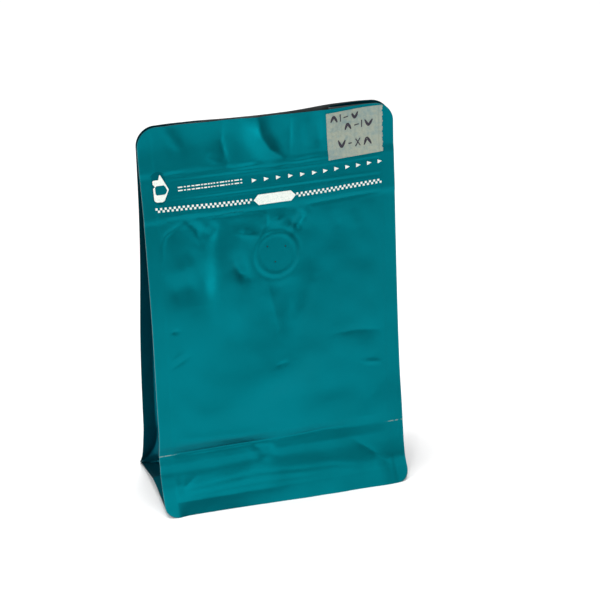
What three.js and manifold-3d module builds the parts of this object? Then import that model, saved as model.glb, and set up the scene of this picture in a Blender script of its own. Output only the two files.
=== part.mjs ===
// An empty flat-bottom pouch of coloured foil film, stood on its base with its mouth still unsealed.
// It has a pocket zipper with a tear-off tab near the top and a one-way valve below that.
// Millimetres, +Z up, the front faces -Y, and the origin is on the floor under the middle of the base.
//
// A point of a film panel is named by u, across the panel from its left edge, and v, up along the film
// from its bottom edge. A point of a side gusset is named by s, across the gusset from its middle fold
// (below 0 towards the front), and the same v.

import * as THREE from 'three';
import { mergeVertices } from 'three/addons/utils/BufferGeometryUtils.js';
import Module from 'manifold-3d';

const wasm = await Module();
wasm.setup();

// ---------------------------------------------------------------- driving dimensions

const PANEL_WIDTH = 130;
const PANEL_HEIGHT = 200;
const GUSSET_WIDTH = 66;
const FILM = 0.5; // wall of the solids; the real film is about 0.13
const GAP = 0.3; // between the layers that are sealed or stuck together
const SIDE_SEAL = 7;
const BASE_SEAL = 8;
const TOP_RADIUS = 9.5;
const FRONT_FOOT_RADIUS = 7.5;
const BACK_FOOT_RADIUS = 2;

const HALF_WIDTH = PANEL_WIDTH / 2;
const HALF_GUSSET = GUSSET_WIDTH / 2;
const CREASE_V = HALF_GUSSET; // the base film was folded up to here while the bag lay flat
const LAYER = FILM + GAP;

// y of the outer face of each panel at its left and right edge, at places v. All four flare out below
// the crease, where the base holds the panels apart.
const FRONT_LEFT = [
  [0, -29],
  [8.5, -25.2],
  [17.5, -20.6],
  [24.5, -17.9],
  [CREASE_V, -17.2],
  [43.5, -17.9],
  [66, -15.8],
  [102, -12.1],
  [133, -7],
  [157.5, -2],
  [176.5, 3.2],
  [190, 6.2],
  [PANEL_HEIGHT, 7.2],
];
const FRONT_RIGHT = [
  [0, -31],
  [8.5, -24.9],
  [14, -21.7],
  [22, -19.4],
  [30, -17.7],
  [43, -15],
  [58.5, -11.4],
  [86.5, -6.7],
  [128.5, -1.1],
  [152, 1.8],
  [178, 5.4],
  [PANEL_HEIGHT, 7.4],
];
const BACK_LEFT = [
  [0, 31],
  [5.5, 27],
  [12, 23],
  [24, 19.3],
  [CREASE_V, 17.6],
  [51, 17.8],
  [66, 17.6],
  [83.5, 16.5],
  [107.5, 13.2],
  [125.5, 10.4],
  [145, 8.6],
  [158.5, 8.2],
  [179, 8.8],
  [PANEL_HEIGHT, 10.1],
];
const BACK_RIGHT = [
  [0, 29],
  [5.5, 25.5],
  [12, 22],
  [24, 18.8],
  [CREASE_V, 17.2],
  [51, 17.6],
  [66, 17.6],
  [83.5, 16.8],
  [107.5, 14.4],
  [125.5, 12.4],
  [145, 11],
  [158.5, 10.5],
  [179, 10.4],
  [PANEL_HEIGHT, 10.6],
];

// The two lips of the mouth: y at places u. They part most on the right.
const FRONT_LIP = [
  [0, 7.2],
  [20, 8],
  [35, 7.1],
  [50, 7.7],
  [70, 6.8],
  [95, 6.4],
  [115, 8.4],
  [PANEL_WIDTH, 7.4],
];
const BACK_LIP = [
  [0, 10.1],
  [25, 11.2],
  [55, 9.4],
  [75, 10.2],
  [100, 13.8],
  [113, 14.5],
  [125, 12.8],
  [PANEL_WIDTH, 10.6],
];
const FRONT_LIP_FROM = 174; // v where the wave of each lip has died out
const BACK_LIP_FROM = 95;
const BACK_LIP_FULL = 150;
const CREASE_DEPTH = 0.8;
const CREASE_REACH = 5;
const CREASE_FADE = 95; // u where the front's crease starts to run out

// The dents and ridges of the front film that show from a step away. Each lies at u, v, runs for
// length at an angle from the horizontal, and stands out (above 0) or in by height.
const FOLDS = [
  { u: 30, v: 190, angle: 95, length: 10, width: 8, height: -0.7 },
  { u: 61, v: 190, angle: 112, length: 14, width: 6, height: 1.4 },
  { u: 78, v: 189, angle: 95, length: 11, width: 4.5, height: 0.6 },
  { u: 69, v: 186, angle: 112, length: 10, width: 3.5, height: -0.7 },
  { u: 29, v: 147, angle: 62, length: 7, width: 3.6, height: -1.0 },
  { u: 20, v: 138, angle: 75, length: 13, width: 7, height: -0.8 },
  { u: 35, v: 126, angle: 88, length: 24, width: 5, height: 1.2 },
  { u: 48, v: 126, angle: 100, length: 9, width: 4, height: -0.9 },
  { u: 18, v: 128, angle: 10, length: 8, width: 5, height: 0.5 },
  { u: 75, v: 147, angle: 55, length: 6, width: 3, height: -1.0 },
  { u: 69, v: 106, angle: 80, length: 14, width: 5.5, height: -0.8 },
  { u: 78, v: 104, angle: 62, length: 18, width: 5, height: 0.7 },
  { u: 66, v: 84, angle: 40, length: 46, width: 16, height: 1.3 },
  { u: 52, v: 27, angle: 20, length: 8, width: 4, height: -0.8 },
  { u: 60, v: 12, angle: 0, length: 45, width: 5, height: 0.6 },
];
const FOLD_MARGIN = 8; // the folds fade out over this much next to each side seal
const VALVE_MARGIN = 5; // and over this much around the valve
const ZIPPER_PRESS = 0.4; // the zipper behind the film presses it out by this much
const ZIPPER_RAMP = 4;

// Side gusset: the foot of its middle fold on the floor side, and the point where that fold tips in.
const GUSSET_FOOT = { inset: 0.3, z: 7 };
const GUSSET_APEX = { inset: 24, z: 14, v: 24 };
const RULED_UP_TO = 42; // v where the gusset is a plain upright V again
const BAND_AT_FOOT = 1.2; // the side seal narrows to this at the bottom corners
const BAND_FULL_V = 16;
const FOLD_RADIUS = 0.8;
const FOLD_SHARE = 0.04; // of the gusset's half, bent around the middle fold
const STEP_SHARE = 0.06; // of the gusset's half, over which it steps back behind the zipper
const ZIPPER_ROOM = 1.6;
const ROOM_RAMP = 3;

// Base film: the height of its middle crease, its free edge at the sides, and how it clears the gussets.
const BASE_CREASE_Z = 10;
const BASE_REACH = 63.5;
const BASE_BELOW_GUSSET = 1.5;
const BASE_LOWEST = 0.6;
const BASE_CHAMFER = { reach: 66, front: [16.3, 28], back: [20.4, 39] }; // y on the bag's side, x at FAR

// Zipper, tab, valve and label, all placed on the front panel.
const ZIPPER = { inset: 9.5, v0: 153, v1: 179, flange: 0.5, rib: 1.1, rib0: 162, rib1: 168, slope: 0.6 };
const WINDOW = { u: 8.9, v: 170.7, width: 7, height: 15.3 };
const TAB_MIDDLE = { u: 9.4, v: 170 };
const TAB_OUTLINE = [
  [6, 165.8],
  [7.3, 164.2],
  [10.1, 164.2],
  [11.2, 165.3],
  [13.6, 169.9],
  [9.8, 177.4],
  [8.9, 175],
  [6, 175],
];
const TAB_CLEARANCE = 0.6;
const VALVE = { u: 66, v: 131, flange: 10.5, rim: 0.8, cap: 7.8, depth: 2.2, ring: 11.6, width: 2, raise: 0.35 };
const PINHOLES = [
  [61.3, 135.4],
  [70.7, 134.3],
  [65, 127.1],
];
const PINHOLE_RADIUS = 0.45;
const LABEL_CORNERS = [
  [95.5, 174.1],
  [124, 175.7],
  [124.4, 198.9],
  [94.6, 197.9],
];
const LABEL_THICKNESS = 0.3;

// Rows of facets, shared by every upright sheet so that sealed layers stay parallel.
const ROWS = [
  0, 1.5, 4, 8, 12, 16, 20, 24, 28, 33, 37, 42, 50, 60, 70, 80, 92, 104, 114, 122, 130, 138, 146, 150,
  153, 156, 162, 168, 172, 176, 179, 182, 186, 190, 195, 200,
];
const FRONT_COLUMNS = 18; // between the side seals
const BACK_COLUMNS = 10;

// How far the punches of the bottom corners reach from the middle of the bag.
const FAR = 50;
const NEAR = 16;

// ---------------------------------------------------------------- curves and small maths

const { clamp, lerp, smoothstep, degToRad } = THREE.MathUtils;

// A smooth curve through the given [at, value] pairs, without overshoot.
function curveThrough(keys) {
  const slopes = keys.map((key, i) => {
    if (i === 0 || i === keys.length - 1) {
      return null;
    }
    const before = (key[1] - keys[i - 1][1]) / (key[0] - keys[i - 1][0]);
    const after = (keys[i + 1][1] - key[1]) / (keys[i + 1][0] - key[0]);
    return before * after > 0 ? (2 * before * after) / (before + after) : 0;
  });
  const last = keys.length - 1;
  slopes[0] = (keys[1][1] - keys[0][1]) / (keys[1][0] - keys[0][0]);
  slopes[last] = (keys[last][1] - keys[last - 1][1]) / (keys[last][0] - keys[last - 1][0]);
  return (at) => {
    const x = clamp(at, keys[0][0], keys[last][0]);
    let i = 0;
    while (i < last - 1 && x > keys[i + 1][0]) {
      i += 1;
    }
    const span = keys[i + 1][0] - keys[i][0];
    const t = (x - keys[i][0]) / span;
    const a = keys[i][1];
    const b = keys[i + 1][1];
    const bend = (1 - t) * slopes[i] * span * (1 - t) * t - t * slopes[i + 1] * span * t * (1 - t);
    return lerp(a, b, t * t * (3 - 2 * t)) + bend;
  };
}

const frontLeft = curveThrough(FRONT_LEFT);
const frontRight = curveThrough(FRONT_RIGHT);
const backLeft = curveThrough(BACK_LEFT);
const backRight = curveThrough(BACK_RIGHT);
const frontLip = curveThrough(FRONT_LIP);
const backLip = curveThrough(BACK_LIP);

// Height above the floor of the film at v: the film keeps its length while it leans and flares.
const LEVELS = [0];
for (let v = 1; v <= PANEL_HEIGHT; v += 1) {
  const rises = [frontLeft, frontRight, backLeft, backRight].map((edge) => {
    const lean = edge(v) - edge(v - 1);
    return Math.sqrt(1 - lean * lean);
  });
  LEVELS.push(LEVELS[v - 1] + rises.reduce((sum, rise) => sum + rise) / rises.length);
}

function levelOf(v) {
  const low = clamp(Math.floor(v), 0, PANEL_HEIGHT - 1);
  return lerp(LEVELS[low], LEVELS[low + 1], v - low);
}

function steps(from, to, count) {
  return Array.from({ length: count + 1 }, (_, i) => lerp(from, to, i / count));
}

// 1 between low and high, running down to 0 over ramp outside them.
function plateau(at, low, high, ramp) {
  return Math.min(smoothstep(at, low - ramp, low), 1 - smoothstep(at, high, high + ramp));
}

// ---------------------------------------------------------------- the film panels

// How far the front film stands out at u, v from its smooth shape.
function relief(u, v) {
  const aside = Math.min(u, PANEL_WIDTH - u);
  const fromValve = Math.hypot(u - VALVE.u, v - VALVE.v);
  const slack = smoothstep(aside, SIDE_SEAL, SIDE_SEAL + FOLD_MARGIN)
    * smoothstep(fromValve, VALVE.ring + 1, VALVE.ring + 1 + VALVE_MARGIN);
  let out = 0;
  for (const fold of FOLDS) {
    const turn = degToRad(fold.angle);
    const along = (u - fold.u) * Math.cos(turn) + (v - fold.v) * Math.sin(turn);
    const beside = (v - fold.v) * Math.cos(turn) - (u - fold.u) * Math.sin(turn);
    out += fold.height * Math.exp(-((along / fold.length) ** 2) - (beside / fold.width) ** 2);
  }
  const press = plateau(v, ZIPPER.v0 + ZIPPER_RAMP, ZIPPER.v1 - ZIPPER_RAMP, ZIPPER_RAMP);
  const crease = Math.max(0, 1 - Math.abs(v - CREASE_V) / CREASE_REACH);
  const worn = 1 - smoothstep(u, CREASE_FADE, PANEL_WIDTH);
  return out * slack + ZIPPER_PRESS * press - CREASE_DEPTH * crease * worn;
}

function frontPoint(u, v) {
  const share = u / PANEL_WIDTH;
  const lip = frontLip(u) - lerp(frontLeft(PANEL_HEIGHT), frontRight(PANEL_HEIGHT), share);
  const lean = lerp(frontLeft(v), frontRight(v), share);
  const y = lean + lip * smoothstep(v, FRONT_LIP_FROM, PANEL_HEIGHT) - relief(u, v);
  return new THREE.Vector3(u - HALF_WIDTH, y, levelOf(v));
}

function backPoint(u, v) {
  const share = u / PANEL_WIDTH;
  const lip = backLip(u) - lerp(backLeft(PANEL_HEIGHT), backRight(PANEL_HEIGHT), share);
  const y = lerp(backLeft(v), backRight(v), share) + lip * smoothstep(v, BACK_LIP_FROM, BACK_LIP_FULL);
  return new THREE.Vector3(u - HALF_WIDTH, y, levelOf(v));
}

// Unit normal of a surface, on the side from which u to v turns anticlockwise.
function normalOf(surface, u, v) {
  const step = 0.25;
  const du = surface(u + step, v).sub(surface(u - step, v));
  const dv = surface(u, v + step).sub(surface(u, v - step));
  return du.cross(dv).normalize();
}

// A surface moved by depth against its normal.
function below(surface, depth) {
  return (u, v) => surface(u, v).addScaledVector(normalOf(surface, u, v), -depth);
}

// The front (half -1) or back (half 1) panel moved by depth into the bag. The back's normal points in.
function wallPoint(half, u, v, depth) {
  return half < 0 ? below(frontPoint, depth)(u, v) : below(backPoint, -depth)(u, v);
}

// ---------------------------------------------------------------- meshes

// A closed sheet between two surfaces over the same grid; upper is on the side of the normal.
function sheet(upper, lower, us, vs) {
  const wide = us.length;
  const high = vs.length;
  const positions = [];
  for (const surface of [upper, lower]) {
    for (const v of vs) {
      for (const u of us) {
        const { x, y, z } = surface(u, v);
        positions.push(x, y, Math.max(z, 0));
      }
    }
  }
  const index = [];
  const at = (layer, i, j) => layer * wide * high + j * wide + i;
  const quad = (a, b, c, d) => index.push(a, b, c, a, c, d);
  const right = wide - 1;
  const top = high - 1;
  for (let j = 0; j < top; j += 1) {
    for (let i = 0; i < right; i += 1) {
      quad(at(0, i, j), at(0, i + 1, j), at(0, i + 1, j + 1), at(0, i, j + 1));
      quad(at(1, i, j), at(1, i, j + 1), at(1, i + 1, j + 1), at(1, i + 1, j));
    }
    quad(at(0, 0, j), at(0, 0, j + 1), at(1, 0, j + 1), at(1, 0, j));
    quad(at(0, right, j), at(1, right, j), at(1, right, j + 1), at(0, right, j + 1));
  }
  for (let i = 0; i < right; i += 1) {
    quad(at(0, i, 0), at(1, i, 0), at(1, i + 1, 0), at(0, i + 1, 0));
    quad(at(0, i, top), at(0, i + 1, top), at(1, i + 1, top), at(1, i, top));
  }
  const geometry = new THREE.BufferGeometry();
  geometry.setAttribute('position', new THREE.Float32BufferAttribute(positions, 3));
  geometry.setIndex(index);
  return geometry;
}

function toSolid(source) {
  const bare = source.clone();
  bare.deleteAttribute('normal');
  bare.deleteAttribute('uv');
  const merged = mergeVertices(bare, 1e-4);
  const vertProperties = new Float32Array(merged.attributes.position.array);
  const triVerts = new Uint32Array(merged.index.array);
  return new wasm.Manifold(new wasm.Mesh({ numProp: 3, vertProperties, triVerts }));
}

function toGeometry(solid) {
  const mesh = solid.getMesh();
  const geometry = new THREE.BufferGeometry();
  geometry.setAttribute('position', new THREE.BufferAttribute(mesh.vertProperties, 3));
  geometry.setIndex(new THREE.BufferAttribute(mesh.triVerts, 1));
  return geometry;
}

function cut(geometry, cutters) {
  return toGeometry(cutters.reduce((left, cutter) => left.subtract(toSolid(cutter)), toSolid(geometry)));
}

function prism(points, depth) {
  const shape = new THREE.Shape(points.map(([a, b]) => new THREE.Vector2(a, b)));
  return new THREE.ExtrudeGeometry(shape, { depth, bevelEnabled: false });
}

function lathe(profile, segments) {
  const points = profile.map(([radius, height]) => new THREE.Vector2(radius, height));
  return new THREE.LatheGeometry(points, segments).rotateX(Math.PI / 2);
}

// Moves a geometry whose axis is +Z so that it stands at u, v on the front, with +Z out of the bag.
function ontoFront(geometry, u, v, depth = 0) {
  const normal = normalOf(frontPoint, u, v);
  const right = frontPoint(u + 1, v).sub(frontPoint(u - 1, v)).normalize();
  const up = new THREE.Vector3().crossVectors(normal, right);
  const place = new THREE.Matrix4().makeBasis(right, up, normal);
  place.setPosition(frontPoint(u, v).addScaledVector(normal, -depth));
  return geometry.applyMatrix4(place);
}

// A quarter arc that rounds a corner of the flat bag, as [inset, height] pairs.
function cornerArc(radius) {
  return steps(0, Math.PI / 2, 6).map((turn) => [radius * (1 - Math.sin(turn)), radius * (1 - Math.cos(turn))]);
}

// What a punch takes off one corner of the flat bag, as a prism along Y.
function cornerWaste(side, atTop, radius, fromY, toY) {
  const margin = 3;
  const flat = [...cornerArc(radius), [-margin, radius], [-margin, -margin], [radius, -margin]];
  const points = flat.map(([inset, height]) => {
    const z = atTop ? levelOf(PANEL_HEIGHT - height) : levelOf(height);
    return [side * (HALF_WIDTH - inset), height < 0 ? z + (atTop ? margin : -margin) : z];
  });
  return prism(points, toY - fromY).rotateX(Math.PI / 2).translate(0, toY, 0);
}

function material(color, roughness, metalness = 0) {
  return new THREE.MeshStandardMaterial({ color, roughness, metalness });
}

function piece(name, geometry, look) {
  const mesh = new THREE.Mesh(geometry, look);
  mesh.name = name;
  return mesh;
}

// ---------------------------------------------------------------- front and back panels

function topWaste() {
  return [-1, 1].map((side) => cornerWaste(side, true, TOP_RADIUS, -FAR, FAR));
}

function panelColumns(count) {
  return [0, SIDE_SEAL / 2, ...steps(SIDE_SEAL, PANEL_WIDTH - SIDE_SEAL, count), PANEL_WIDTH - SIDE_SEAL / 2, PANEL_WIDTH];
}

// The tear-off tab's outline about the middle of its window, grown by a clearance.
function tabOutline(grow) {
  return TAB_OUTLINE.map(([u, v]) => {
    const away = new THREE.Vector2(u - TAB_MIDDLE.u, v - TAB_MIDDLE.v);
    away.setLength(away.length() + grow);
    return [away.x + TAB_MIDDLE.u - WINDOW.u, away.y + TAB_MIDDLE.v - WINDOW.v];
  });
}

function slotOutline(width, height) {
  const radius = width / 2;
  const straight = height / 2 - radius;
  const half = steps(0, Math.PI, 8).map((turn) => [radius * Math.cos(turn), straight + radius * Math.sin(turn)]);
  return [...half, ...half.map(([a, b]) => [-a, -b])];
}

function punch(points) {
  const reach = 4;
  return ontoFront(prism(points, 2 * reach).translate(0, 0, -reach), WINDOW.u, WINDOW.v);
}

// The ring that the rim of the valve behind the film presses into it.
function valveRing() {
  const { ring, width, raise } = VALVE;
  const sunk = FILM / 2;
  const profile = [
    [ring - width, -sunk],
    [ring, -sunk],
    [ring, 0],
    [ring - width / 4, raise],
    [ring - (3 * width) / 4, raise],
    [ring - width, 0],
    [ring - width, -sunk],
  ];
  return ontoFront(lathe(profile, 40), VALVE.u, VALVE.v);
}

function pinhole([u, v]) {
  const pin = new THREE.CylinderGeometry(PINHOLE_RADIUS, PINHOLE_RADIUS, 4, 8).rotateX(Math.PI / 2);
  return ontoFront(pin, u, v);
}

function frontPanel() {
  const film = sheet(frontPoint, below(frontPoint, FILM), panelColumns(FRONT_COLUMNS), ROWS);
  const ringed = toGeometry(toSolid(film).add(toSolid(valveRing())));
  const feet = [-1, 1].map((side) => cornerWaste(side, false, FRONT_FOOT_RADIUS, -FAR, -NEAR));
  const window = [punch(slotOutline(WINDOW.width, WINDOW.height)), punch(tabOutline(TAB_CLEARANCE))];
  return cut(ringed, [...topWaste(), ...feet, ...window, ...PINHOLES.map(pinhole)]);
}

function backPanel() {
  const film = sheet(below(backPoint, -FILM), backPoint, panelColumns(BACK_COLUMNS), ROWS);
  const feet = [-1, 1].map((side) => cornerWaste(side, false, BACK_FOOT_RADIUS, NEAR, FAR));
  return cut(film, [...topWaste(), ...feet]);
}

// ---------------------------------------------------------------- side gussets

function footRadius(half) {
  return half < 0 ? FRONT_FOOT_RADIUS : BACK_FOOT_RADIUS;
}

// Inset from the bag's side where the gusset's seal band starts: 0, but for the punched bottom corner.
function bandStart(half, v) {
  const radius = footRadius(half);
  const above = radius - clamp(v, 0, radius);
  return radius - Math.sqrt(radius * radius - above * above);
}

function bandEnd(half, v) {
  const narrow = lerp(BAND_AT_FOOT, SIDE_SEAL, smoothstep(v, 0, BAND_FULL_V));
  return Math.max(narrow, bandStart(half, v) + BAND_AT_FOOT / 2);
}

// The gusset's silver side where it lies against a panel, at an inset from the bag's side.
function bandPoint(side, half, inset, v, depth = LAYER) {
  return wallPoint(half, side < 0 ? inset : PANEL_WIDTH - inset, v, depth);
}

function rootPoint(side, half, v) {
  return bandPoint(side, half, bandEnd(half, v), v);
}

// The upright V: q runs from the seal band (0) to the middle fold (1).
function pleatPoint(side, half, q, v) {
  const root = bandEnd(half, v);
  const halfGap = (rootPoint(side, 1, v).y - rootPoint(side, -1, v).y) / 2;
  const radius = Math.min(FOLD_RADIUS, 0.9 * halfGap);
  const free = HALF_GUSSET - SIDE_SEAL;
  const reach = Math.sqrt(free * free - halfGap * halfGap);
  const leg = Math.min(q / (1 - FOLD_SHARE), 1);
  const atFold = q > 1 - FOLD_SHARE / 2;
  const inset = root + (atFold ? reach : leg * (reach - radius));
  const stepBack = plateau(v, ZIPPER.v0, ZIPPER.v1, ROOM_RAMP) * smoothstep(leg, 0, STEP_SHARE);
  const front = bandPoint(side, -1, inset, v, LAYER + ZIPPER_ROOM * stepBack);
  const back = bandPoint(side, 1, inset, v);
  const share = atFold ? 0.5 : leg * (0.5 - radius / (2 * halfGap));
  return half < 0 ? front.lerp(back, share) : back.lerp(front, share);
}

// s runs from -2 at the front edge of the bag's side, by -1 and 1 at the insides of the two seal
// bands and 0 at the middle fold, to 2 at the back edge.
function gussetPoint(side, s, v) {
  const half = s < 0 ? -1 : 1;
  const along = Math.abs(s);
  if (along >= 1) {
    return bandPoint(side, half, lerp(bandEnd(half, v), bandStart(half, v), along - 1), v);
  }
  const q = 1 - along;
  if (v >= RULED_UP_TO) {
    return pleatPoint(side, half, q, v);
  }
  const corner = rootPoint(side, half, 0);
  const ridgeV = GUSSET_APEX.v * q;
  const ridge = corner.clone().lerp(gussetApex(side), q);
  const top = pleatPoint(side, half, q, RULED_UP_TO);
  const foot = corner.clone().lerp(gussetFoot(side), q);
  const point = v < ridgeV
    ? foot.lerp(ridge, v / ridgeV)
    : ridge.lerp(top, (v - ridgeV) / (RULED_UP_TO - ridgeV));
  const straight = corner.clone().lerp(rootPoint(side, half, RULED_UP_TO), v / RULED_UP_TO);
  const bow = rootPoint(side, half, v).sub(straight);
  return point.addScaledVector(bow, (1 - q) ** 2);
}

function middleOf(side) {
  return (rootPoint(side, 1, 0).y + rootPoint(side, -1, 0).y) / 2;
}

function gussetFoot(side) {
  return new THREE.Vector3(side * (HALF_WIDTH - GUSSET_FOOT.inset), middleOf(side), GUSSET_FOOT.z);
}

function gussetApex(side) {
  return new THREE.Vector3(side * (HALF_WIDTH - GUSSET_APEX.inset), middleOf(side), GUSSET_APEX.z);
}

function gussetColumns() {
  const half = [2, 1.5, 1, 1 - STEP_SHARE, 0.7, 0.35, FOLD_SHARE];
  return [...half.map((s) => -s), 0, ...half.reverse()];
}

function sideGusset(side) {
  const silver = (s, v) => gussetPoint(side, s, v);
  const teal = below(silver, -side * FILM);
  const faces = side < 0 ? [silver, teal] : [teal, silver];
  const film = sheet(...faces, gussetColumns(), ROWS);
  return cut(film, [cornerWaste(side, true, TOP_RADIUS, -FAR, FAR)]);
}

// ---------------------------------------------------------------- base film

// Height of the underside of the gusset's lowest facets, which the base stays clear of.
function gussetUnderside(x, y) {
  const side = x < 0 ? -1 : 1;
  const foot = gussetFoot(side);
  const apex = gussetApex(side);
  const corner = rootPoint(side, y < foot.y ? -1 : 1, 0);
  const slopeX = (apex.z - foot.z) / (foot.x - apex.x);
  const atCorner = foot.z + slopeX * (foot.x - corner.x);
  const slopeY = atCorner / Math.abs(corner.y - foot.y);
  return foot.z + slopeX * (foot.x - x) - slopeY * Math.abs(y - foot.y);
}

function basePoint(x, q) {
  const half = q < 0 ? -1 : 1;
  const u = x + HALF_WIDTH;
  const far = Math.abs(q);
  const free = HALF_GUSSET - BASE_SEAL;
  const wall = wallPoint(half, u, BASE_SEAL, LAYER);
  const seal = clamp(gussetUnderside(x, wall.y) - BASE_BELOW_GUSSET, BASE_LOWEST, BASE_SEAL);
  if (far >= free) {
    return wallPoint(half, u, (seal * (HALF_GUSSET - far)) / BASE_SEAL, LAYER);
  }
  const edge = wallPoint(half, u, seal, LAYER);
  const share = far / free;
  const y = edge.y * share;
  const z = Math.min(lerp(BASE_CREASE_Z, edge.z, share), gussetUnderside(x, y) - BASE_BELOW_GUSSET);
  return new THREE.Vector3(x, y, Math.max(z, BASE_LOWEST));
}

function baseFilm() {
  const wide = [BASE_REACH, 57, 50, 43, 36, 18];
  const xs = [...wide.map((x) => -x), 0, ...wide.reverse()];
  const free = HALF_GUSSET - BASE_SEAL;
  const deep = [HALF_GUSSET, HALF_GUSSET - BASE_SEAL / 2, free, 19, 13, 7];
  const qs = [...deep.map((q) => -q), 0, ...deep.reverse()];
  const film = sheet(basePoint, below(basePoint, FILM), xs, qs);
  return cut(film, [-1, 1].flatMap((side) => [-1, 1].map((half) => baseCorner(side, half))));
}

// The corner of the base that the gusset comes down on, as an upright prism.
function baseCorner(side, half) {
  const { reach, front, back } = BASE_CHAMFER;
  const [onSide, onWall] = half < 0 ? front : back;
  const points = [[reach, onSide], [reach, FAR], [onWall, FAR]].map(([x, y]) => [side * x, half * y]);
  return prism(points, FAR).translate(0, 0, -FAR / 2);
}

// ---------------------------------------------------------------- zipper, tab, valve and label

function zipperStrip() {
  const { inset, v0, v1, flange, rib, rib0, rib1, slope } = ZIPPER;
  const thickness = (v) => (v > rib0 - slope / 2 && v < rib1 + slope / 2 ? rib : flange);
  const vs = [v0, v0 + ZIPPER_RAMP, rib0 - slope, rib0, rib1, rib1 + slope, 172, v1 - ZIPPER_RAMP, v1];
  const us = [inset, ...steps(SIDE_SEAL, PANEL_WIDTH - SIDE_SEAL, FRONT_COLUMNS).slice(1, -1), PANEL_WIDTH - inset];
  const behind = (u, v) => below(frontPoint, LAYER + thickness(v))(u, v);
  return sheet(below(frontPoint, LAYER), behind, us, vs);
}

function pullTab() {
  return ontoFront(prism(tabOutline(0), FILM), WINDOW.u, WINDOW.v, FILM);
}

function valveBody() {
  const { flange, rim, cap, depth } = VALVE;
  const profile = [
    [0, -depth],
    [cap, -depth],
    [cap + 0.6, -rim],
    [flange, -rim],
    [flange, 0],
    [0, 0],
  ];
  return ontoFront(lathe(profile, 32), VALVE.u, VALVE.v, LAYER + GAP);
}

function tapeLabel() {
  const [footLeft, footRight, topRight, topLeft] = LABEL_CORNERS.map(([u, v]) => new THREE.Vector2(u, v));
  const lifted = (height) => (a, b) => {
    const at = footLeft.clone().lerp(footRight, a).lerp(topLeft.clone().lerp(topRight, a), b);
    return below(frontPoint, -height)(at.x, at.y);
  };
  return sheet(lifted(GAP + LABEL_THICKNESS), lifted(GAP), steps(0, 1, 8), steps(0, 1, 7));
}

// ---------------------------------------------------------------- the bag

const tealFilm = material(0x007c88, 0.42, 0.15);
const zipperPlastic = material(0xd8dcd8, 0.5);
const tabFilm = material(0xeeeae2, 0.55);
const valvePlastic = material(0xd0d4d2, 0.45);
const crepeTape = material(0xb9bfae, 0.9);

const bag = new THREE.Group();
bag.add(piece('front_panel', frontPanel(), tealFilm));
bag.add(piece('back_panel', backPanel(), tealFilm));
bag.add(piece('gusset_left', sideGusset(-1), tealFilm));
bag.add(piece('gusset_right', sideGusset(1), tealFilm));
bag.add(piece('base_film', baseFilm(), tealFilm));
bag.add(piece('zipper_strip', zipperStrip(), zipperPlastic));
bag.add(piece('pull_tab', pullTab(), tabFilm));
bag.add(piece('valve_body', valveBody(), valvePlastic));
bag.add(piece('tape_label', tapeLabel(), crepeTape));

export default bag;
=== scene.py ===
"""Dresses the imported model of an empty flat-bottom zipper bag with a gas valve.

The bag's film panels are rebuilt as thin creased foil laminate over the same surfaces as the solids.
Positions on the bag are given in millimetres: u across a panel from its left edge, v up along the
film from its bottom edge, and s across a side gusset from its front edge (-2) over its middle fold
(0) to its back edge (2). The row frame is in metres with +Z up, and the front faces -Y.
"""

import logging
import math
from collections.abc import Callable, Sequence
from dataclasses import dataclass, field
from enum import Enum
from typing import ClassVar

import bmesh
import bpy
import numpy as np
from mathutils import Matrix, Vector

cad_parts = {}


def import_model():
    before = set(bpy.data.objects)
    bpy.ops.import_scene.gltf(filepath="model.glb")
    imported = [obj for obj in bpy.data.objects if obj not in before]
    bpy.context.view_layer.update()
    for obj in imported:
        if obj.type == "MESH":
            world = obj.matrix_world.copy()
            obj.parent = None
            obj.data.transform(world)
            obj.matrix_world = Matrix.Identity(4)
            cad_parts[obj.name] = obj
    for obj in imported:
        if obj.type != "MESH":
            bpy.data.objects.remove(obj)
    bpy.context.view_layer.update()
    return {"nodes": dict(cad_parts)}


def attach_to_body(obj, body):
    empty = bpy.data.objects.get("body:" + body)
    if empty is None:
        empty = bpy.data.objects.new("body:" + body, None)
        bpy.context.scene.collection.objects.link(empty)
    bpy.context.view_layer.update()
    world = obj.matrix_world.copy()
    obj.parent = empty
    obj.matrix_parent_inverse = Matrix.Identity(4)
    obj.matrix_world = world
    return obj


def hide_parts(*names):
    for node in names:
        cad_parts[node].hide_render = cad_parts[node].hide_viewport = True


logger = logging.getLogger("pouch")

MM = 0.001
Pair = tuple[float, float]
Colour = tuple[float, float, float, float]
Surface = Callable[[np.ndarray, np.ndarray], np.ndarray]

# ------------------------------------------------------------------ driving dimensions, mm

PANEL_WIDTH = 130.0
PANEL_HEIGHT = 200.0
HALF_WIDTH = PANEL_WIDTH / 2
HALF_GUSSET = 33.0
SIDE_SEAL = 7.0
BASE_SEAL = 8.0
TOP_RADIUS = 9.5
FRONT_FOOT_RADIUS = 7.5
BACK_FOOT_RADIUS = 2.0
CREASE_V = HALF_GUSSET
FILM = 0.16
LAYER = 0.2

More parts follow.
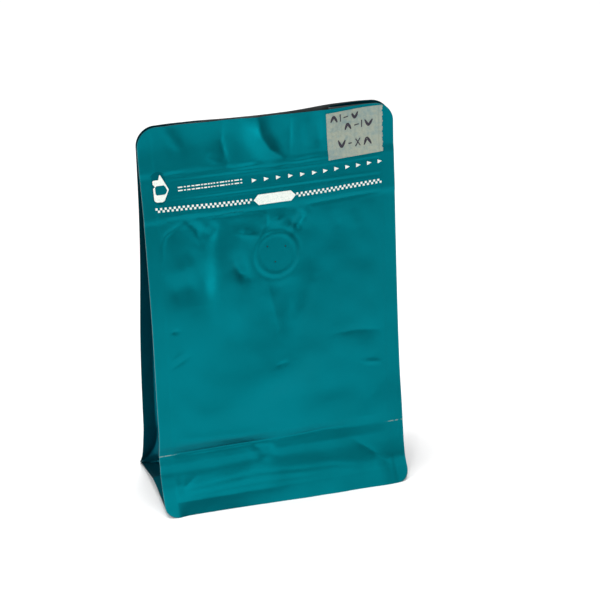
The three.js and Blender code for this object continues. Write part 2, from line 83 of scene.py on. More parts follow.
FRONT_LEFT: list[Pair] = [
    (0, -29), (8.5, -25.2), (17.5, -20.6), (24.5, -17.9), (CREASE_V, -17.2), (43.5, -17.9), (66, -15.8),
    (102, -12.1), (133, -7), (157.5, -2), (176.5, 3.2), (190, 6.2), (PANEL_HEIGHT, 7.2),
]
FRONT_RIGHT: list[Pair] = [
    (0, -31), (8.5, -24.9), (14, -21.7), (22, -19.4), (30, -17.7), (43, -15), (58.5, -11.4),
    (86.5, -6.7), (128.5, -1.1), (152, 1.8), (178, 5.4), (PANEL_HEIGHT, 7.4),
]
BACK_LEFT: list[Pair] = [
    (0, 31), (5.5, 27), (12, 23), (24, 19.3), (CREASE_V, 17.6), (51, 17.8), (66, 17.6), (83.5, 16.5),
    (107.5, 13.2), (125.5, 10.4), (145, 8.6), (158.5, 8.2), (179, 8.8), (PANEL_HEIGHT, 10.1),
]
BACK_RIGHT: list[Pair] = [
    (0, 29), (5.5, 25.5), (12, 22), (24, 18.8), (CREASE_V, 17.2), (51, 17.6), (66, 17.6), (83.5, 16.8),
    (107.5, 14.4), (125.5, 12.4), (145, 11), (158.5, 10.5), (179, 10.4), (PANEL_HEIGHT, 10.6),
]
FRONT_LIP: list[Pair] = [
    (0, 7.2), (20, 8), (35, 7.1), (50, 7.7), (70, 6.8), (95, 6.4), (115, 8.4), (PANEL_WIDTH, 7.4),
]
BACK_LIP: list[Pair] = [
    (0, 10.1), (25, 11.2), (55, 9.4), (75, 10.2), (100, 13.8), (113, 14.5), (125, 12.8),
    (PANEL_WIDTH, 10.6),
]
# Between these heights a panel's upper part takes on the wave of its lip.
FRONT_LIP_RISE: Pair = (174.0, PANEL_HEIGHT)
BACK_LIP_RISE: Pair = (95.0, 150.0)
CREASE_DEPTH = 0.8
CREASE_REACH = 5.0
CREASE_FADE = 95.0

# Broad folds shared with the solids: u, v, angle in degrees, length, width, height.
FOLDS: list[tuple[float, float, float, float, float, float]] = [
    (30, 190, 95, 10, 8, -0.7),
    (61, 190, 112, 14, 6, 1.4),
    (78, 189, 95, 11, 4.5, 0.6),
    (69, 186, 112, 10, 3.5, -0.7),
    (29, 147, 62, 7, 3.6, -1.0),
    (20, 138, 75, 13, 7, -0.8),
    (35, 126, 88, 24, 5, 1.2),
    (48, 126, 100, 9, 4, -0.9),
    (18, 128, 10, 8, 5, 0.5),
    (75, 147, 55, 6, 3, -1.0),
    (69, 106, 80, 14, 5.5, -0.8),
    (78, 104, 62, 18, 5, 0.7),
    (66, 84, 40, 46, 16, 1.3),
    (52, 27, 20, 8, 4, -0.8),
    (60, 12, 0, 45, 5, 0.6),
]
FOLD_MARGIN = 8.0
VALVE_U = 66.0
VALVE_V = 131.0
VALVE_RING = 11.6
VALVE_MARGIN = 5.0
RIM_LIFT = 0.26
RIM_INNER = 9.7
RIM_OUTER = 10.9
RIM_RAMP = 0.8
DISC_LIFT = 0.1
DISC_INNER = 8.6
DISC_OUTER = 10.0
MOAT_DEPTH = 0.14
MOAT_RADIUS = 12.7
MOAT_WIDTH = 0.9
PINHOLES: list[Pair] = [(61.3, 135.4), (70.7, 134.3), (65.0, 127.1)]
PINHOLE_RADIUS = 0.42
ZIPPER_V0 = 153.0
ZIPPER_V1 = 179.0
ZIPPER_PRESS = 0.4
ZIPPER_RAMP = 4.0
ZIPPER_SLACK = 0.45
# The front film's foot seal turns in from the left corner and ever less to the right.
FOOT_CURL = 1.1
FOOT_CURL_V = 8.6
FOOT_CURL_START: Pair = (5.0, 12.0)
FOOT_CURL_END: Pair = (35.0, 85.0)
FOOT_CURL_FADE = 0.8
SEAL_STEP = 0.12
WRINKLE_GAIN = 1.25
# Lift of each film's slack and ripple.
FRONT_SLACK: Pair = (0.16, 0.008)
BACK_SLACK: Pair = (0.2, 0.02)
GUSSET_SLACK: Pair = (0.3, 0.04)
BASE_SLACK = 0.25

GUSSET_FOOT_INSET = 0.3
GUSSET_FOOT_Z = 7.0
GUSSET_APEX_INSET = 24.0
GUSSET_APEX_Z = 14.0
GUSSET_APEX_V = 24.0
RULED_UP_TO = 42.0
BOW_POWER = 5
FRONT_CORNER_V = 5.0
BACK_CORNER_V = 1.4
BAND_AT_FOOT = 0.6
BAND_FULL_V = 24.0
CRESCENT = 0.5
FOLD_RADIUS = 0.7
FOLD_SHARE = 0.04
STEP_SHARE = 0.06
ZIPPER_ROOM = 2.2
ROOM_RAMP = 3.0
BASE_CREASE_Z = 10.0
# The foot seals keep their full height up to BASE_SEAL_X from the middle and end at the corners' folds.
BASE_SEAL_X = 34.0
BASE_CORNER_X = 57.0
BASE_SEAL_LEAST = 0.4
BASE_GAP = 0.25
BASE_LOWEST = 0.02
BASE_INSET = 0.6
BASE_FLAT_V = 90.0

WINDOW_U = 8.9
WINDOW_V = 170.7
WINDOW_WIDTH = 7.0
WINDOW_HEIGHT = 15.3
# A spot of the flat film that has no crease wear, no painted edge highlight and no painted foot-seal
# shade.
PLAIN_UV: Pair = (0.3, 0.5)


# ------------------------------------------------------------------ small maths


def lerp(a: np.ndarray | float, b: np.ndarray | float, t: np.ndarray | float) -> np.ndarray:
    """Blends from a to b.

    Args:
        a: The value at t = 0.
        b: The value at t = 1.
        t: The share of b.

    Returns:
        The blended value.
    """
    return a + (b - a) * np.asarray(t)


def smoothstep(x: np.ndarray | float, low: float, high: float) -> np.ndarray:
    """Rises smoothly from 0 at low to 1 at high.

    Args:
        x: Where to read the step.
        low: Where the rise starts.
        high: Where the rise ends.

    Returns:
        The height of the step at x.
    """
    t = np.clip((np.asarray(x, dtype=float) - low) / (high - low), 0.0, 1.0)
    return t * t * (3 - 2 * t)


def plateau(x: np.ndarray, low: float, high: float, ramp: float) -> np.ndarray:
    """Is 1 between low and high and runs down to 0 over ramp outside them.

    Args:
        x: Where to read it.
        low: Start of the flat top.
        high: End of the flat top.
        ramp: Length of each slope.

    Returns:
        The height at x.
    """
    return np.minimum(smoothstep(x, low - ramp, low), 1 - smoothstep(x, high, high + ramp))


def stack(x: np.ndarray, y: np.ndarray, z: np.ndarray) -> np.ndarray:
    """Joins coordinates into points.

    Args:
        x: First coordinates.
        y: Second coordinates.
        z: Third coordinates.

    Returns:
        An array with one more axis, of length 3.
    """
    return np.stack(np.broadcast_arrays(x, y, z), axis=-1).astype(float)


class Curve:
    """A smooth curve through [at, value] keys, without overshoot."""

    SAMPLES = 2600

    def __init__(self, keys: Sequence[Pair]) -> None:
        """Samples the curve.

        Args:
            keys: Positions and values in rising order of position.
        """
        at = np.array([key[0] for key in keys], dtype=float)
        value = np.array([key[1] for key in keys], dtype=float)
        secant = np.diff(value) / np.diff(at)
        before, after = secant[:-1], secant[1:]
        same_way = before * after > 0
        total = np.where(same_way, before + after, 1.0)
        inner = np.where(same_way, 2 * before * after / total, 0.0)
        slope = np.concatenate([[secant[0]], inner, [secant[-1]]])
        self.xs = np.linspace(at[0], at[-1], self.SAMPLES)
        i = np.clip(np.searchsorted(at, self.xs, side="left") - 1, 0, len(at) - 2)
        span = at[i + 1] - at[i]
        t = (self.xs - at[i]) / span
        bend = (1 - t) * slope[i] * span * (1 - t) * t - t * slope[i + 1] * span * t * (1 - t)
        self.ys = lerp(value[i], value[i + 1], t * t * (3 - 2 * t)) + bend

    def __call__(self, x: np.ndarray | float) -> np.ndarray:
        """Reads the curve.

        Args:
            x: Where to read it.

        Returns:
            Its value there.
        """
        return np.interp(x, self.xs, self.ys)


class Profile(Enum):
    """Cross-section of a wrinkle."""

    SOFT = "soft"
    SHARP = "sharp"
    STEP = "step"


@dataclass(frozen=True)
class Wrinkle:
    """A fold line in a film, standing out where height is above 0 and sunk where it is below."""

    path: tuple[Pair, ...]
    width: float
    height: float
    profile: Profile = Profile.SOFT
    taper: float = 0.35
    at_end: float = 0.35

    def lift(self, u: np.ndarray, v: np.ndarray) -> np.ndarray:
        """Measures the wrinkle.

        Args:
            u: Positions across the film.
            v: Positions up the film.

        Returns:
            How far the wrinkle lifts the film there.
        """
        nearest = np.full(u.shape, np.inf)
        signed = np.zeros(u.shape)
        travelled = np.zeros(u.shape)
        lengths = [math.dist(a, b) for a, b in zip(self.path, self.path[1:])]
        total = sum(lengths)
        done = 0.0
        for (a, b), length in zip(zip(self.path, self.path[1:]), lengths):
            du, dv = (b[0] - a[0]) / length, (b[1] - a[1]) / length
            along = np.clip((u - a[0]) * du + (v - a[1]) * dv, 0, length)
            off_u, off_v = u - a[0] - along * du, v - a[1] - along * dv
            distance = np.hypot(off_u, off_v)
            closer = distance < nearest
            nearest = np.where(closer, distance, nearest)
            signed = np.where(closer, du * off_v - dv * off_u, signed)
            travelled = np.where(closer, done + along, travelled)
            done += length
        share = travelled / total
        end = np.minimum(share, 1 - share)
        ends = lerp(self.at_end, 1.0, smoothstep(end, 0.0, self.taper))
        reach = nearest / self.width
        if self.profile is Profile.SHARP:
            section = np.exp(-reach)
        elif self.profile is Profile.STEP:
            fade = np.exp(-((nearest / (4 * self.width)) ** 2))
            section = 0.5 * (1 + np.tanh(1.6 * signed / self.width)) * fade
        else:
            section = np.exp(-reach * reach)
        return self.height * ends * section


class Crumple:
    """Low random undulation of a slack film, the same in every run."""

    def __init__(self, seed: int, waves: int, shortest: float, longest: float) -> None:
        """Draws the waves.

        Args:
            seed: Seed of the random draw.
            waves: How many plane waves are added up.
            shortest: Shortest wavelength in mm.
            longest: Longest wavelength in mm.
        """
        draw = np.random.default_rng(seed)
        self.heading = draw.uniform(0, math.pi, waves)
        self.number = 2 * math.pi / np.exp(draw.uniform(math.log(shortest), math.log(longest), waves))
        self.phase = draw.uniform(0, 2 * math.pi, waves)
        self.sway = draw.uniform(0.5, 1.6, waves)

    def lift(self, u: np.ndarray, v: np.ndarray) -> np.ndarray:
        """Measures the undulation.

        Args:
            u: Positions across the film.
            v: Positions up the film.

        Returns:
            A lift of about -1 to 1.
        """
        total = np.zeros(u.shape)
        for heading, number, phase, sway in zip(self.heading, self.number, self.phase, self.sway):
            along = u * math.cos(heading) + v * math.sin(heading)
            beside = v * math.cos(heading) - u * math.sin(heading)
            total += np.sin(number * along + phase + sway * np.sin(0.6 * number * beside + 2 * phase))
        return total / math.sqrt(len(self.number))


W = Wrinkle
SHARP = Profile.SHARP
FRONT_WRINKLES: list[Wrinkle] = [
    # over the zipper
    W(((59.3, 201), (61.5, 190), (65, 184), (74, 177)), 4.2, 1.3, SHARP),
    W(((43, 201), (41.5, 190), (44, 178)), 2.8, -0.8, SHARP),
    W(((76.5, 199), (75.5, 179)), 2.0, -0.5, SHARP),
    W(((85, 199), (84, 182)), 2.4, 0.35),
    W(((91, 197), (90.5, 180)), 2.2, -0.35),
    W(((33, 184), (41, 179)), 2.2, 0.3),
    W(((14, 199), (22, 186)), 2.6, 0.35),
    W(((47, 175.8), (60, 177)), 0.9, 0.25),
    W(((76.5, 175.8), (90, 176.8)), 0.9, 0.25),
    # along the zipper
    W(((13, 176.7), (21.5, 176.7)), 0.5, 0.25),
    W(((10, 175), (60, 174.8), (121, 175)), 0.7, -0.2),
    W(((9, 173.2), (70, 173.1), (122, 173.2)), 0.45, 0.16),
    W(((109, 172.4), (125, 172.3)), 0.4, -0.2),
    W(((9, 165.3), (60, 165.1), (122, 165.3)), 0.5, 0.2),
    W(((9, 164.2), (60, 164), (122, 164.2)), 0.5, -0.25),
    W(((12, 157), (25, 156.9)), 0.5, 0.25),
    W(((12, 155), (49, 154.3), (72, 153.8)), 0.5, -0.6, SHARP),
    W(((83, 153.8), (121, 155.4)), 0.5, -0.6, SHARP),
    # between the zipper and the valve
    W(((20, 153.5), (10, 147.7), (7.7, 143), (7.5, 133)), 1.0, -0.5, SHARP),
    W(((20, 154), (25, 148), (27, 143.5)), 1.0, -0.5, Profile.STEP),
    W(((25.5, 140.5), (32.5, 153)), 3.6, 0.8),
    W(((31, 142), (36.5, 151.5)), 3.0, -0.6),
    W(((46, 144.5), (57, 141.5)), 2.2, 0.7, SHARP),
    W(((62, 152.5), (61.5, 146), (58.5, 142)), 1.4, -0.6, SHARP),
    W(((66.5, 150), (67.5, 146)), 2.4, 0.4),
    W(((71.5, 142), (78.5, 152)), 2.6, 0.8),
    W(((75.5, 142), (82, 151.5)), 2.4, -0.6),
    W(((84, 152), (79, 142)), 3.0, 0.35),
    W(((43, 131), (46, 124), (51, 120.5)), 2.0, -0.7, SHARP),
    W(((96, 150), (100, 138)), 3.0, -0.2),
    W(((106, 149), (109, 137)), 3.0, 0.2),
    # left half
    W(((45, 150), (44, 125), (44, 88)), 8.0, 0.75),
    W(((27, 135), (25, 110)), 6.0, -0.4),
    W(((12, 131), (24, 134)), 5.0, 0.3),
    W(((8, 119), (26, 123)), 7.0, -0.9),
    W(((10, 99.4), (13.5, 99.2)), 0.9, -0.4),
    W(((9, 80.5), (18, 85.5)), 0.8, -0.3, SHARP),
    W(((9, 84), (15, 88)), 0.8, 0.25, SHARP),
    # middle and right
    W(((60.5, 117), (66, 90)), 3.0, 0.5, SHARP),
    W(((30, 50), (60, 66), (95, 78)), 12.0, 1.4),
    W(((63, 73.6), (68, 74.6)), 0.8, -0.3),
    W(((94, 85), (108, 84.5), (119.5, 82.5)), 2.4, -0.4, SHARP),
    W(((110.5, 67), (119, 65.6)), 1.1, 0.28),
    # crease and foot
    W(((3, 33), (30, 33.1), (61, 32.9)), 0.8, -0.8, SHARP),
    W(((61, 32.9), (98, 34.4)), 0.8, -0.4, SHARP),
    W(((6, 41), (30, 40), (58, 37)), 3.2, 0.6),
    W(((45, 24.5), (59, 29.5)), 4.0, 0.5),
    W(((53, 21.5), (58, 25), (59.5, 31.5)), 4.0, -0.8, Profile.STEP),
    W(((6, 20.5), (11.5, 15.5), (18, 20.5)), 1.2, -0.3, SHARP),
    W(((6, 14.5), (50, 17), (90, 14.5), (114, 10.5)), 1.2, 0.15),
    W(((14, 11.8), (50, 12.8), (92, 11)), 1.0, 0.12),
    W(((103, 26), (112, 18.5), (119.5, 12)), 1.8, -0.5, SHARP),
]
BACK_WRINKLES: list[Wrinkle] = [
    W(((40, 33), (90, 33)), 0.9, -0.4, SHARP),
    W(((22, 150), (34, 128), (36, 104)), 3.4, -0.6),
    W(((98, 152), (90, 132)), 3.0, 0.5),
    W(((60, 120), (72, 96)), 5.0, -0.5),
    W(((30, 30), (38, 20)), 2.4, -0.5),
    W(((92, 29), (84, 19)), 2.4, -0.5),
    W(((48, 192), (52, 176)), 3.0, -0.5),
    W(((84, 194), (80, 178)), 3.0, 0.5),
    W(((12, 88), (22, 94)), 1.0, -0.3, SHARP),
    W(((112, 116), (104, 108)), 1.2, -0.3, SHARP),
    W(((14, 155), (70, 154.4), (118, 155)), 0.9, -0.2),
]
# Wrinkles of a side gusset, with s scaled by GUSSET_SCALE.
GUSSET_SCALE = 26.0
GUSSET_WRINKLES: list[Wrinkle] = [
    W(((-16, 42), (-10, 60), (-14, 78)), 2.6, -0.5),
    W(((14, 44), (9, 58), (12, 72)), 2.6, -0.5),
    W(((-20, 90), (-6, 104)), 2.2, 0.4),
    W(((18, 100), (6, 118)), 2.2, 0.4),
    W(((-12, 28), (-4, 36)), 1.4, -0.4, SHARP),
    W(((12, 27), (5, 37)), 1.4, -0.4, SHARP),
    W(((-18, 6), (-9, 12)), 1.6, -0.3),
    W(((17, 6), (8, 12)), 1.6, 0.3),
]


# ------------------------------------------------------------------ the bag's surfaces


class ReliefMap:
    """A panel's relief, sampled once and read by interpolation."""

    STEP = 0.4

    def __init__(self, relief: Callable[[np.ndarray, np.ndarray], np.ndarray]) -> None:
        """Samples the relief.

        Args:
            relief: The relief to sample.
        """
        self.wide = round(PANEL_WIDTH / self.STEP)
        self.high = round(PANEL_HEIGHT / self.STEP)
        across = np.linspace(0, PANEL_WIDTH, self.wide + 1)
        up = np.linspace(0, PANEL_HEIGHT, self.high + 1)
        self.values = relief(*np.meshgrid(across, up))

    def __call__(self, u: np.ndarray, v: np.ndarray) -> np.ndarray:
        """Reads the relief.

        Args:
            u: Positions across the panel.
            v: Positions up the panel.

        Returns:
            The lift in mm.
        """
        x = np.clip(u / self.STEP, 0, self.wide - 1e-6)
        y = np.clip(v / self.STEP, 0, self.high - 1e-6)
        i, j = x.astype(int), y.astype(int)
        a, b = x - i, y - j
        low = lerp(self.values[j, i], self.values[j, i + 1], a)
        high = lerp(self.values[j + 1, i], self.values[j + 1, i + 1], a)
        return lerp(low, high, b)


class BagShape:
    """The surfaces of the bag's film panels, in mm."""

    def __init__(self) -> None:
        """Prepares the profiles and the crumpling."""
        self.front_edges = (Curve(FRONT_LEFT), Curve(FRONT_RIGHT))
        self.back_edges = (Curve(BACK_LEFT), Curve(BACK_RIGHT))
        self.front_lip = Curve(FRONT_LIP)
        self.back_lip = Curve(BACK_LIP)
        v = np.arange(0, PANEL_HEIGHT + 1)
        rises = [np.sqrt(1 - np.diff(edge(v)) ** 2) for edge in (*self.front_edges, *self.back_edges)]
        self.levels = np.concatenate([[0.0], np.cumsum(np.mean(rises, axis=0))])
        self.slack = Crumple(seed=7, waves=14, shortest=16, longest=60)
        self.ripple = Crumple(seed=19, waves=16, shortest=3.5, longest=9)
        self.front_map = ReliefMap(self.front_relief)
        self.back_map = ReliefMap(self.back_relief)

    def level(self, v: np.ndarray | float) -> np.ndarray:
        """Finds the height above the floor of the film at v.

        Args:
            v: Positions up the film.

        Returns:
            Heights in mm.
        """
        return np.interp(v, np.arange(0, PANEL_HEIGHT + 1), self.levels)

    def fades(self, u: np.ndarray, v: np.ndarray) -> np.ndarray:
        """Tells where the front film is free to fold: not in the side seals or over the valve.

        Args:
            u: Positions across the panel.
            v: Positions up the panel.

        Returns:
            1 where the film is free, down to 0 where it is held.
        """
        aside = np.minimum(u, PANEL_WIDTH - u)
        from_valve = np.hypot(u - VALVE_U, v - VALVE_V)
        return smoothstep(aside, SIDE_SEAL, SIDE_SEAL + FOLD_MARGIN) * smoothstep(
            from_valve, VALVE_RING + 1, VALVE_RING + 1 + VALVE_MARGIN
        )

    def valve_lift(self, u: np.ndarray, v: np.ndarray) -> np.ndarray:
        """Measures the print of the valve's rim in the film.

        Args:
            u: Positions across the panel.
            v: Positions up the panel.

        Returns:
            The lift in mm.
        """
        radius = np.hypot(u - VALVE_U, v - VALVE_V)
        rim = RIM_LIFT * plateau(radius, RIM_INNER, RIM_OUTER, RIM_RAMP)
        disc = DISC_LIFT * (1 - smoothstep(radius, DISC_INNER, DISC_OUTER))
        moat = -MOAT_DEPTH * np.exp(-(((radius - MOAT_RADIUS) / MOAT_WIDTH) ** 2))
        return rim + disc + moat

    @staticmethod
    def foot_curl(u: np.ndarray, v: np.ndarray) -> np.ndarray:
        """Measures how far the front film turns in along its foot seal, most on the left.

        Args:
            u: Positions across the panel.
            v: Positions up the panel.

        Returns:
            The depth in mm.
        """
        turned = np.clip(1 - v / FOOT_CURL_V, 0, 1)
        fade = FOOT_CURL_FADE * smoothstep(u, *FOOT_CURL_END)
        return FOOT_CURL * turned * smoothstep(u, *FOOT_CURL_START) * (1 - fade)

    def front_relief(self, u: np.ndarray, v: np.ndarray) -> np.ndarray:
        """Measures how far the front film stands out from its smooth shape.

        Args:
            u: Positions across the panel.
            v: Positions up the panel.

        Returns:
            The lift in mm.
        """
        free = self.fades(u, v)
        aside = np.minimum(u, PANEL_WIDTH - u)
        out = np.zeros(u.shape)
        for fold_u, fold_v, angle, length, width, height in FOLDS:
            turn = math.radians(angle)
            along = (u - fold_u) * math.cos(turn) + (v - fold_v) * math.sin(turn)
            beside = (v - fold_v) * math.cos(turn) - (u - fold_u) * math.sin(turn)
            out += height * np.exp(-((along / length) ** 2) - (beside / width) ** 2)
        out *= free
        press = plateau(v, ZIPPER_V0 + ZIPPER_RAMP, ZIPPER_V1 - ZIPPER_RAMP, ZIPPER_RAMP)
        crease = np.maximum(0, 1 - np.abs(v - CREASE_V) / CREASE_REACH)
        worn = 1 - smoothstep(u, CREASE_FADE, PANEL_WIDTH)
        out += ZIPPER_PRESS * press - CREASE_DEPTH * crease * worn
        shared = out.copy()
        loose = smoothstep(aside, SIDE_SEAL - 1, SIDE_SEAL + 2)
        for wrinkle in FRONT_WRINKLES:
            out += WRINKLE_GAIN * wrinkle.lift(u, v) * loose
        out += self.valve_lift(u, v) - self.foot_curl(u, v)
        out += SEAL_STEP * (smoothstep(aside, SIDE_SEAL - 0.6, SIDE_SEAL + 0.8) - 1)
        calm = 1 - 0.6 * plateau(v, ZIPPER_V0, ZIPPER_V1, ZIPPER_RAMP)
        slack, ripple = FRONT_SLACK
        out += (slack * self.slack.lift(u, v) + ripple * self.ripple.lift(u, v)) * free * calm
        held = plateau(v, ZIPPER_V0 - 1, ZIPPER_V1 + 1, 2.0)
        return np.maximum(out, shared - ZIPPER_SLACK - 5 * (1 - held))

    def back_relief(self, u: np.ndarray, v: np.ndarray) -> np.ndarray:
        """Measures how far the back film stands out from its smooth shape.

        Args:
            u: Positions across the panel, from the left as seen from the front.
            v: Positions up the panel.

        Returns:
            The lift in mm.
        """
        aside = np.minimum(u, PANEL_WIDTH - u)
        loose = smoothstep(aside, SIDE_SEAL, SIDE_SEAL + FOLD_MARGIN)
        slack, ripple = BACK_SLACK
        out = slack * self.slack.lift(PANEL_WIDTH - u, v + 60) + ripple * self.ripple.lift(u + 40, v)
        for wrinkle in BACK_WRINKLES:
            out = out + wrinkle.lift(u, v)
        return out * loose * smoothstep(v, 0, 10)

    @staticmethod
    def smooth_y(
        edges: tuple[Curve, Curve], lip: Curve, rise: Pair, u: np.ndarray, v: np.ndarray
    ) -> np.ndarray:
        """Finds y of a panel without its relief.

        Args:
            edges: The profiles of its left and right side.
            lip: The line of its upper end.
            rise: Where that line starts to show, and where it shows in full.
            u: Positions across the panel.
            v: Positions up the panel.

        Returns:
            y in mm.
        """
        share = u / PANEL_WIDTH
        left, right = edges
        wave = lip(u) - lerp(left(PANEL_HEIGHT), right(PANEL_HEIGHT), share)
        return lerp(left(v), right(v), share) + wave * smoothstep(v, *rise)

    def front(self, u: np.ndarray, v: np.ndarray) -> np.ndarray:
        """Finds points of the front panel's outer face.

        Args:
            u: Positions across the panel.
            v: Positions up the panel.

        Returns:
            Points in mm.
        """
        smooth = self.smooth_y(self.front_edges, self.front_lip, FRONT_LIP_RISE, u, v)
        return stack(u - HALF_WIDTH, smooth - self.front_map(u, v), self.level(v))

    def back(self, u: np.ndarray, v: np.ndarray) -> np.ndarray:
        """Finds points of the back panel's outer face.

        Args:
            u: Positions across the panel, from the left as seen from the front.
            v: Positions up the panel.

        Returns:
            Points in mm.
        """
        smooth = self.smooth_y(self.back_edges, self.back_lip, BACK_LIP_RISE, u, v)
        return stack(u - HALF_WIDTH, smooth + self.back_map(u, v), self.level(v))

    def wall(
        self, half: np.ndarray, u: np.ndarray, v: np.ndarray, depth: np.ndarray | float
    ) -> np.ndarray:
        """Finds points inside the bag, next to its front or back panel.

        Args:
            half: -1 for the front panel and 1 for the back one.
            u: Positions across the panel.
            v: Positions up the panel.
            depth: Distance inwards from the panel's outer face.

        Returns:
            Points in mm.
        """
        depth = np.broadcast_to(depth, u.shape)
        front = offset(self.front, u, v, -depth)
        back = offset(self.back, u, v, depth)
        return np.where((half < 0)[..., None], front, back)

    @staticmethod
    def foot_radius(half: np.ndarray) -> np.ndarray:
        """Gives the radius of the punched corner at the foot of a panel.

        Args:
            half: -1 for the front panel and 1 for the back one.

        Returns:
            Radii in mm.
        """
        return np.where(half < 0, FRONT_FOOT_RADIUS, BACK_FOOT_RADIUS)

    def band_start(self, half: np.ndarray, v: np.ndarray) -> np.ndarray:
        """Gives the inset from the bag's side at which the gusset's film starts.

        Args:
            half: -1 for the front panel and 1 for the back one.
            v: Positions up the film.

        Returns:
            Insets in mm.
        """
        radius = self.foot_radius(half)
        above = radius - np.clip(v, 0, radius)
        return radius - np.sqrt(radius * radius - above * above)

    def band_end(self, half: np.ndarray, v: np.ndarray) -> np.ndarray:
        """Gives the inset at which the gusset comes free of its seal band.

        Args:
            half: -1 for the front panel and 1 for the back one.
            v: Positions up the film.

        Returns:
            Insets in mm.
        """
        narrow = lerp(BAND_AT_FOOT, SIDE_SEAL, smoothstep(v, 0, BAND_FULL_V))
        return np.maximum(narrow, self.band_start(half, v) + BAND_AT_FOOT / 2)

    @staticmethod
    def corner_v(half: np.ndarray) -> np.ndarray:
        """Gives the height at which the foot line of a gusset reaches a panel.

        Args:
            half: -1 for the front panel and 1 for the back one.

        Returns:
            Positions up the film.
        """
        return np.where(half < 0, FRONT_CORNER_V, BACK_CORNER_V)

    def band(
        self,
        side: int,
        half: np.ndarray,
        inset: np.ndarray,
        v: np.ndarray,
        depth: np.ndarray | float = LAYER,
    ) -> np.ndarray:
        """Finds points of the gusset where it lies against a panel.

        Args:
            side: -1 for the left gusset and 1 for the right one.
            half: -1 for the front panel and 1 for the back one.
            inset: Distances in from the bag's side.
            v: Positions up the film.
            depth: Distance in from the panel's outer face.

        Returns:
            Points in mm.
        """
        u = inset if side < 0 else PANEL_WIDTH - inset
        return self.wall(half, u, v, depth)

    def root(self, side: int, half: np.ndarray, v: np.ndarray) -> np.ndarray:
        """Finds where the gusset comes free of its seal band.

        Args:
            side: -1 for the left gusset and 1 for the right one.
            half: -1 for the front panel and 1 for the back one.
            v: Positions up the film.

        Returns:
            Points in mm.
        """
        return self.band(side, half, self.band_end(half, v), v)

    def middle(self, side: int) -> float:
        """Gives y of the middle of the bag's foot at one side.

        Args:
            side: -1 for the left and 1 for the right.

        Returns:
            y in mm.
        """
        halves = (np.array([-1.0]), np.array([1.0]))
        ends = [self.root(side, half, self.corner_v(half))[0, 1] for half in halves]
        return float(sum(ends) / 2)

    def gusset_foot(self, side: int) -> np.ndarray:
        """Gives the foot of a gusset's middle line.

        Args:
            side: -1 for the left and 1 for the right.

        Returns:
            A point in mm.
        """
        return np.array([side * (HALF_WIDTH - GUSSET_FOOT_INSET), self.middle(side), GUSSET_FOOT_Z])

    def gusset_apex(self, side: int) -> np.ndarray:
        """Gives the point where a gusset's middle fold tips inwards.

        Args:
            side: -1 for the left and 1 for the right.

        Returns:
            A point in mm.
        """
        return np.array([side * (HALF_WIDTH - GUSSET_APEX_INSET), self.middle(side), GUSSET_APEX_Z])

    def pleat(self, side: int, half: np.ndarray, q: np.ndarray, v: np.ndarray) -> np.ndarray:
        """Finds points of the upright V of a gusset.

        Args:
            side: -1 for the left gusset and 1 for the right one.
            half: -1 for the front leg and 1 for the back one.
            q: From 0 at the seal band to 1 at the middle fold.
            v: Positions up the film.

        Returns:
            Points in mm.
        """
        ones = np.ones(q.shape)
        root = self.band_end(half, v)
        gap = (self.root(side, ones, v)[..., 1] - self.root(side, -ones, v)[..., 1]) / 2
        radius = np.minimum(FOLD_RADIUS, 0.8 * gap)
        free = HALF_GUSSET - SIDE_SEAL
        reach = np.sqrt(free * free - gap * gap)
        leg = np.minimum(q / (1 - FOLD_SHARE), 1)
        turn = np.clip((q - (1 - FOLD_SHARE)) / FOLD_SHARE, 0, 1) * math.pi / 2
        inset = root + leg * (reach - radius) + radius * np.sin(turn)
        step_back = plateau(v, ZIPPER_V0, ZIPPER_V1, ROOM_RAMP) * smoothstep(leg, 0, STEP_SHARE)
        front = self.band(side, -ones, inset, v, LAYER + ZIPPER_ROOM * step_back)
        back = self.band(side, ones, inset, v)
        share = leg * 0.5 - (radius / (2 * gap)) * leg * np.cos(turn)
        in_front = (half < 0)[..., None]
        near, far = np.where(in_front, front, back), np.where(in_front, back, front)
        return lerp(near, far, share[..., None])

    def gusset(self, side: int, s: np.ndarray, rise: np.ndarray) -> np.ndarray:
        """Finds points of a gusset's silver side.

        Args:
            side: -1 for the left gusset and 1 for the right one.
            s: Positions across the gusset, -2 to 2.
            rise: Positions up the film from its foot line, 0 to PANEL_HEIGHT.

        Returns:
            Points in mm.
        """
        half = np.where(s < 0, -1.0, 1.0)
        along = np.abs(s)
        q = np.clip(1 - along, 1e-6, 1)
        corner_v = self.corner_v(half)
        v = rise + corner_v * (1 - q) * np.clip(1 - rise / RULED_UP_TO, 0, 1)
        inset = lerp(self.band_end(half, v), self.band_start(half, v), np.maximum(along - 1, 0))
        in_band = self.band(side, half, inset, v)
        upright = self.pleat(side, half, q, np.maximum(v, RULED_UP_TO))
        corner = self.root(side, half, corner_v)
        ridge_rise = GUSSET_APEX_V * q
        ridge = lerp(corner, self.gusset_apex(side), q[..., None])
        top = self.pleat(side, half, q, np.full(v.shape, RULED_UP_TO))
        foot = lerp(corner, self.gusset_foot(side), q[..., None])
        low = lerp(foot, ridge, np.clip(rise / ridge_rise, 0, 1)[..., None])
        above = (rise - ridge_rise) / (RULED_UP_TO - ridge_rise)
        high = lerp(ridge, top, np.clip(above, 0, 1)[..., None])
        ruled = np.where((rise < ridge_rise)[..., None], low, high)
        head = self.root(side, half, np.full(v.shape, RULED_UP_TO))
        straight = lerp(corner, head, (rise / RULED_UP_TO)[..., None])
        bow = self.root(side, half, v) - straight
        ruled = ruled + bow * ((1 - q) ** BOW_POWER)[..., None]
        free = np.where((rise >= RULED_UP_TO)[..., None], upright, ruled)
        return np.where((along >= 1)[..., None], in_band, free)

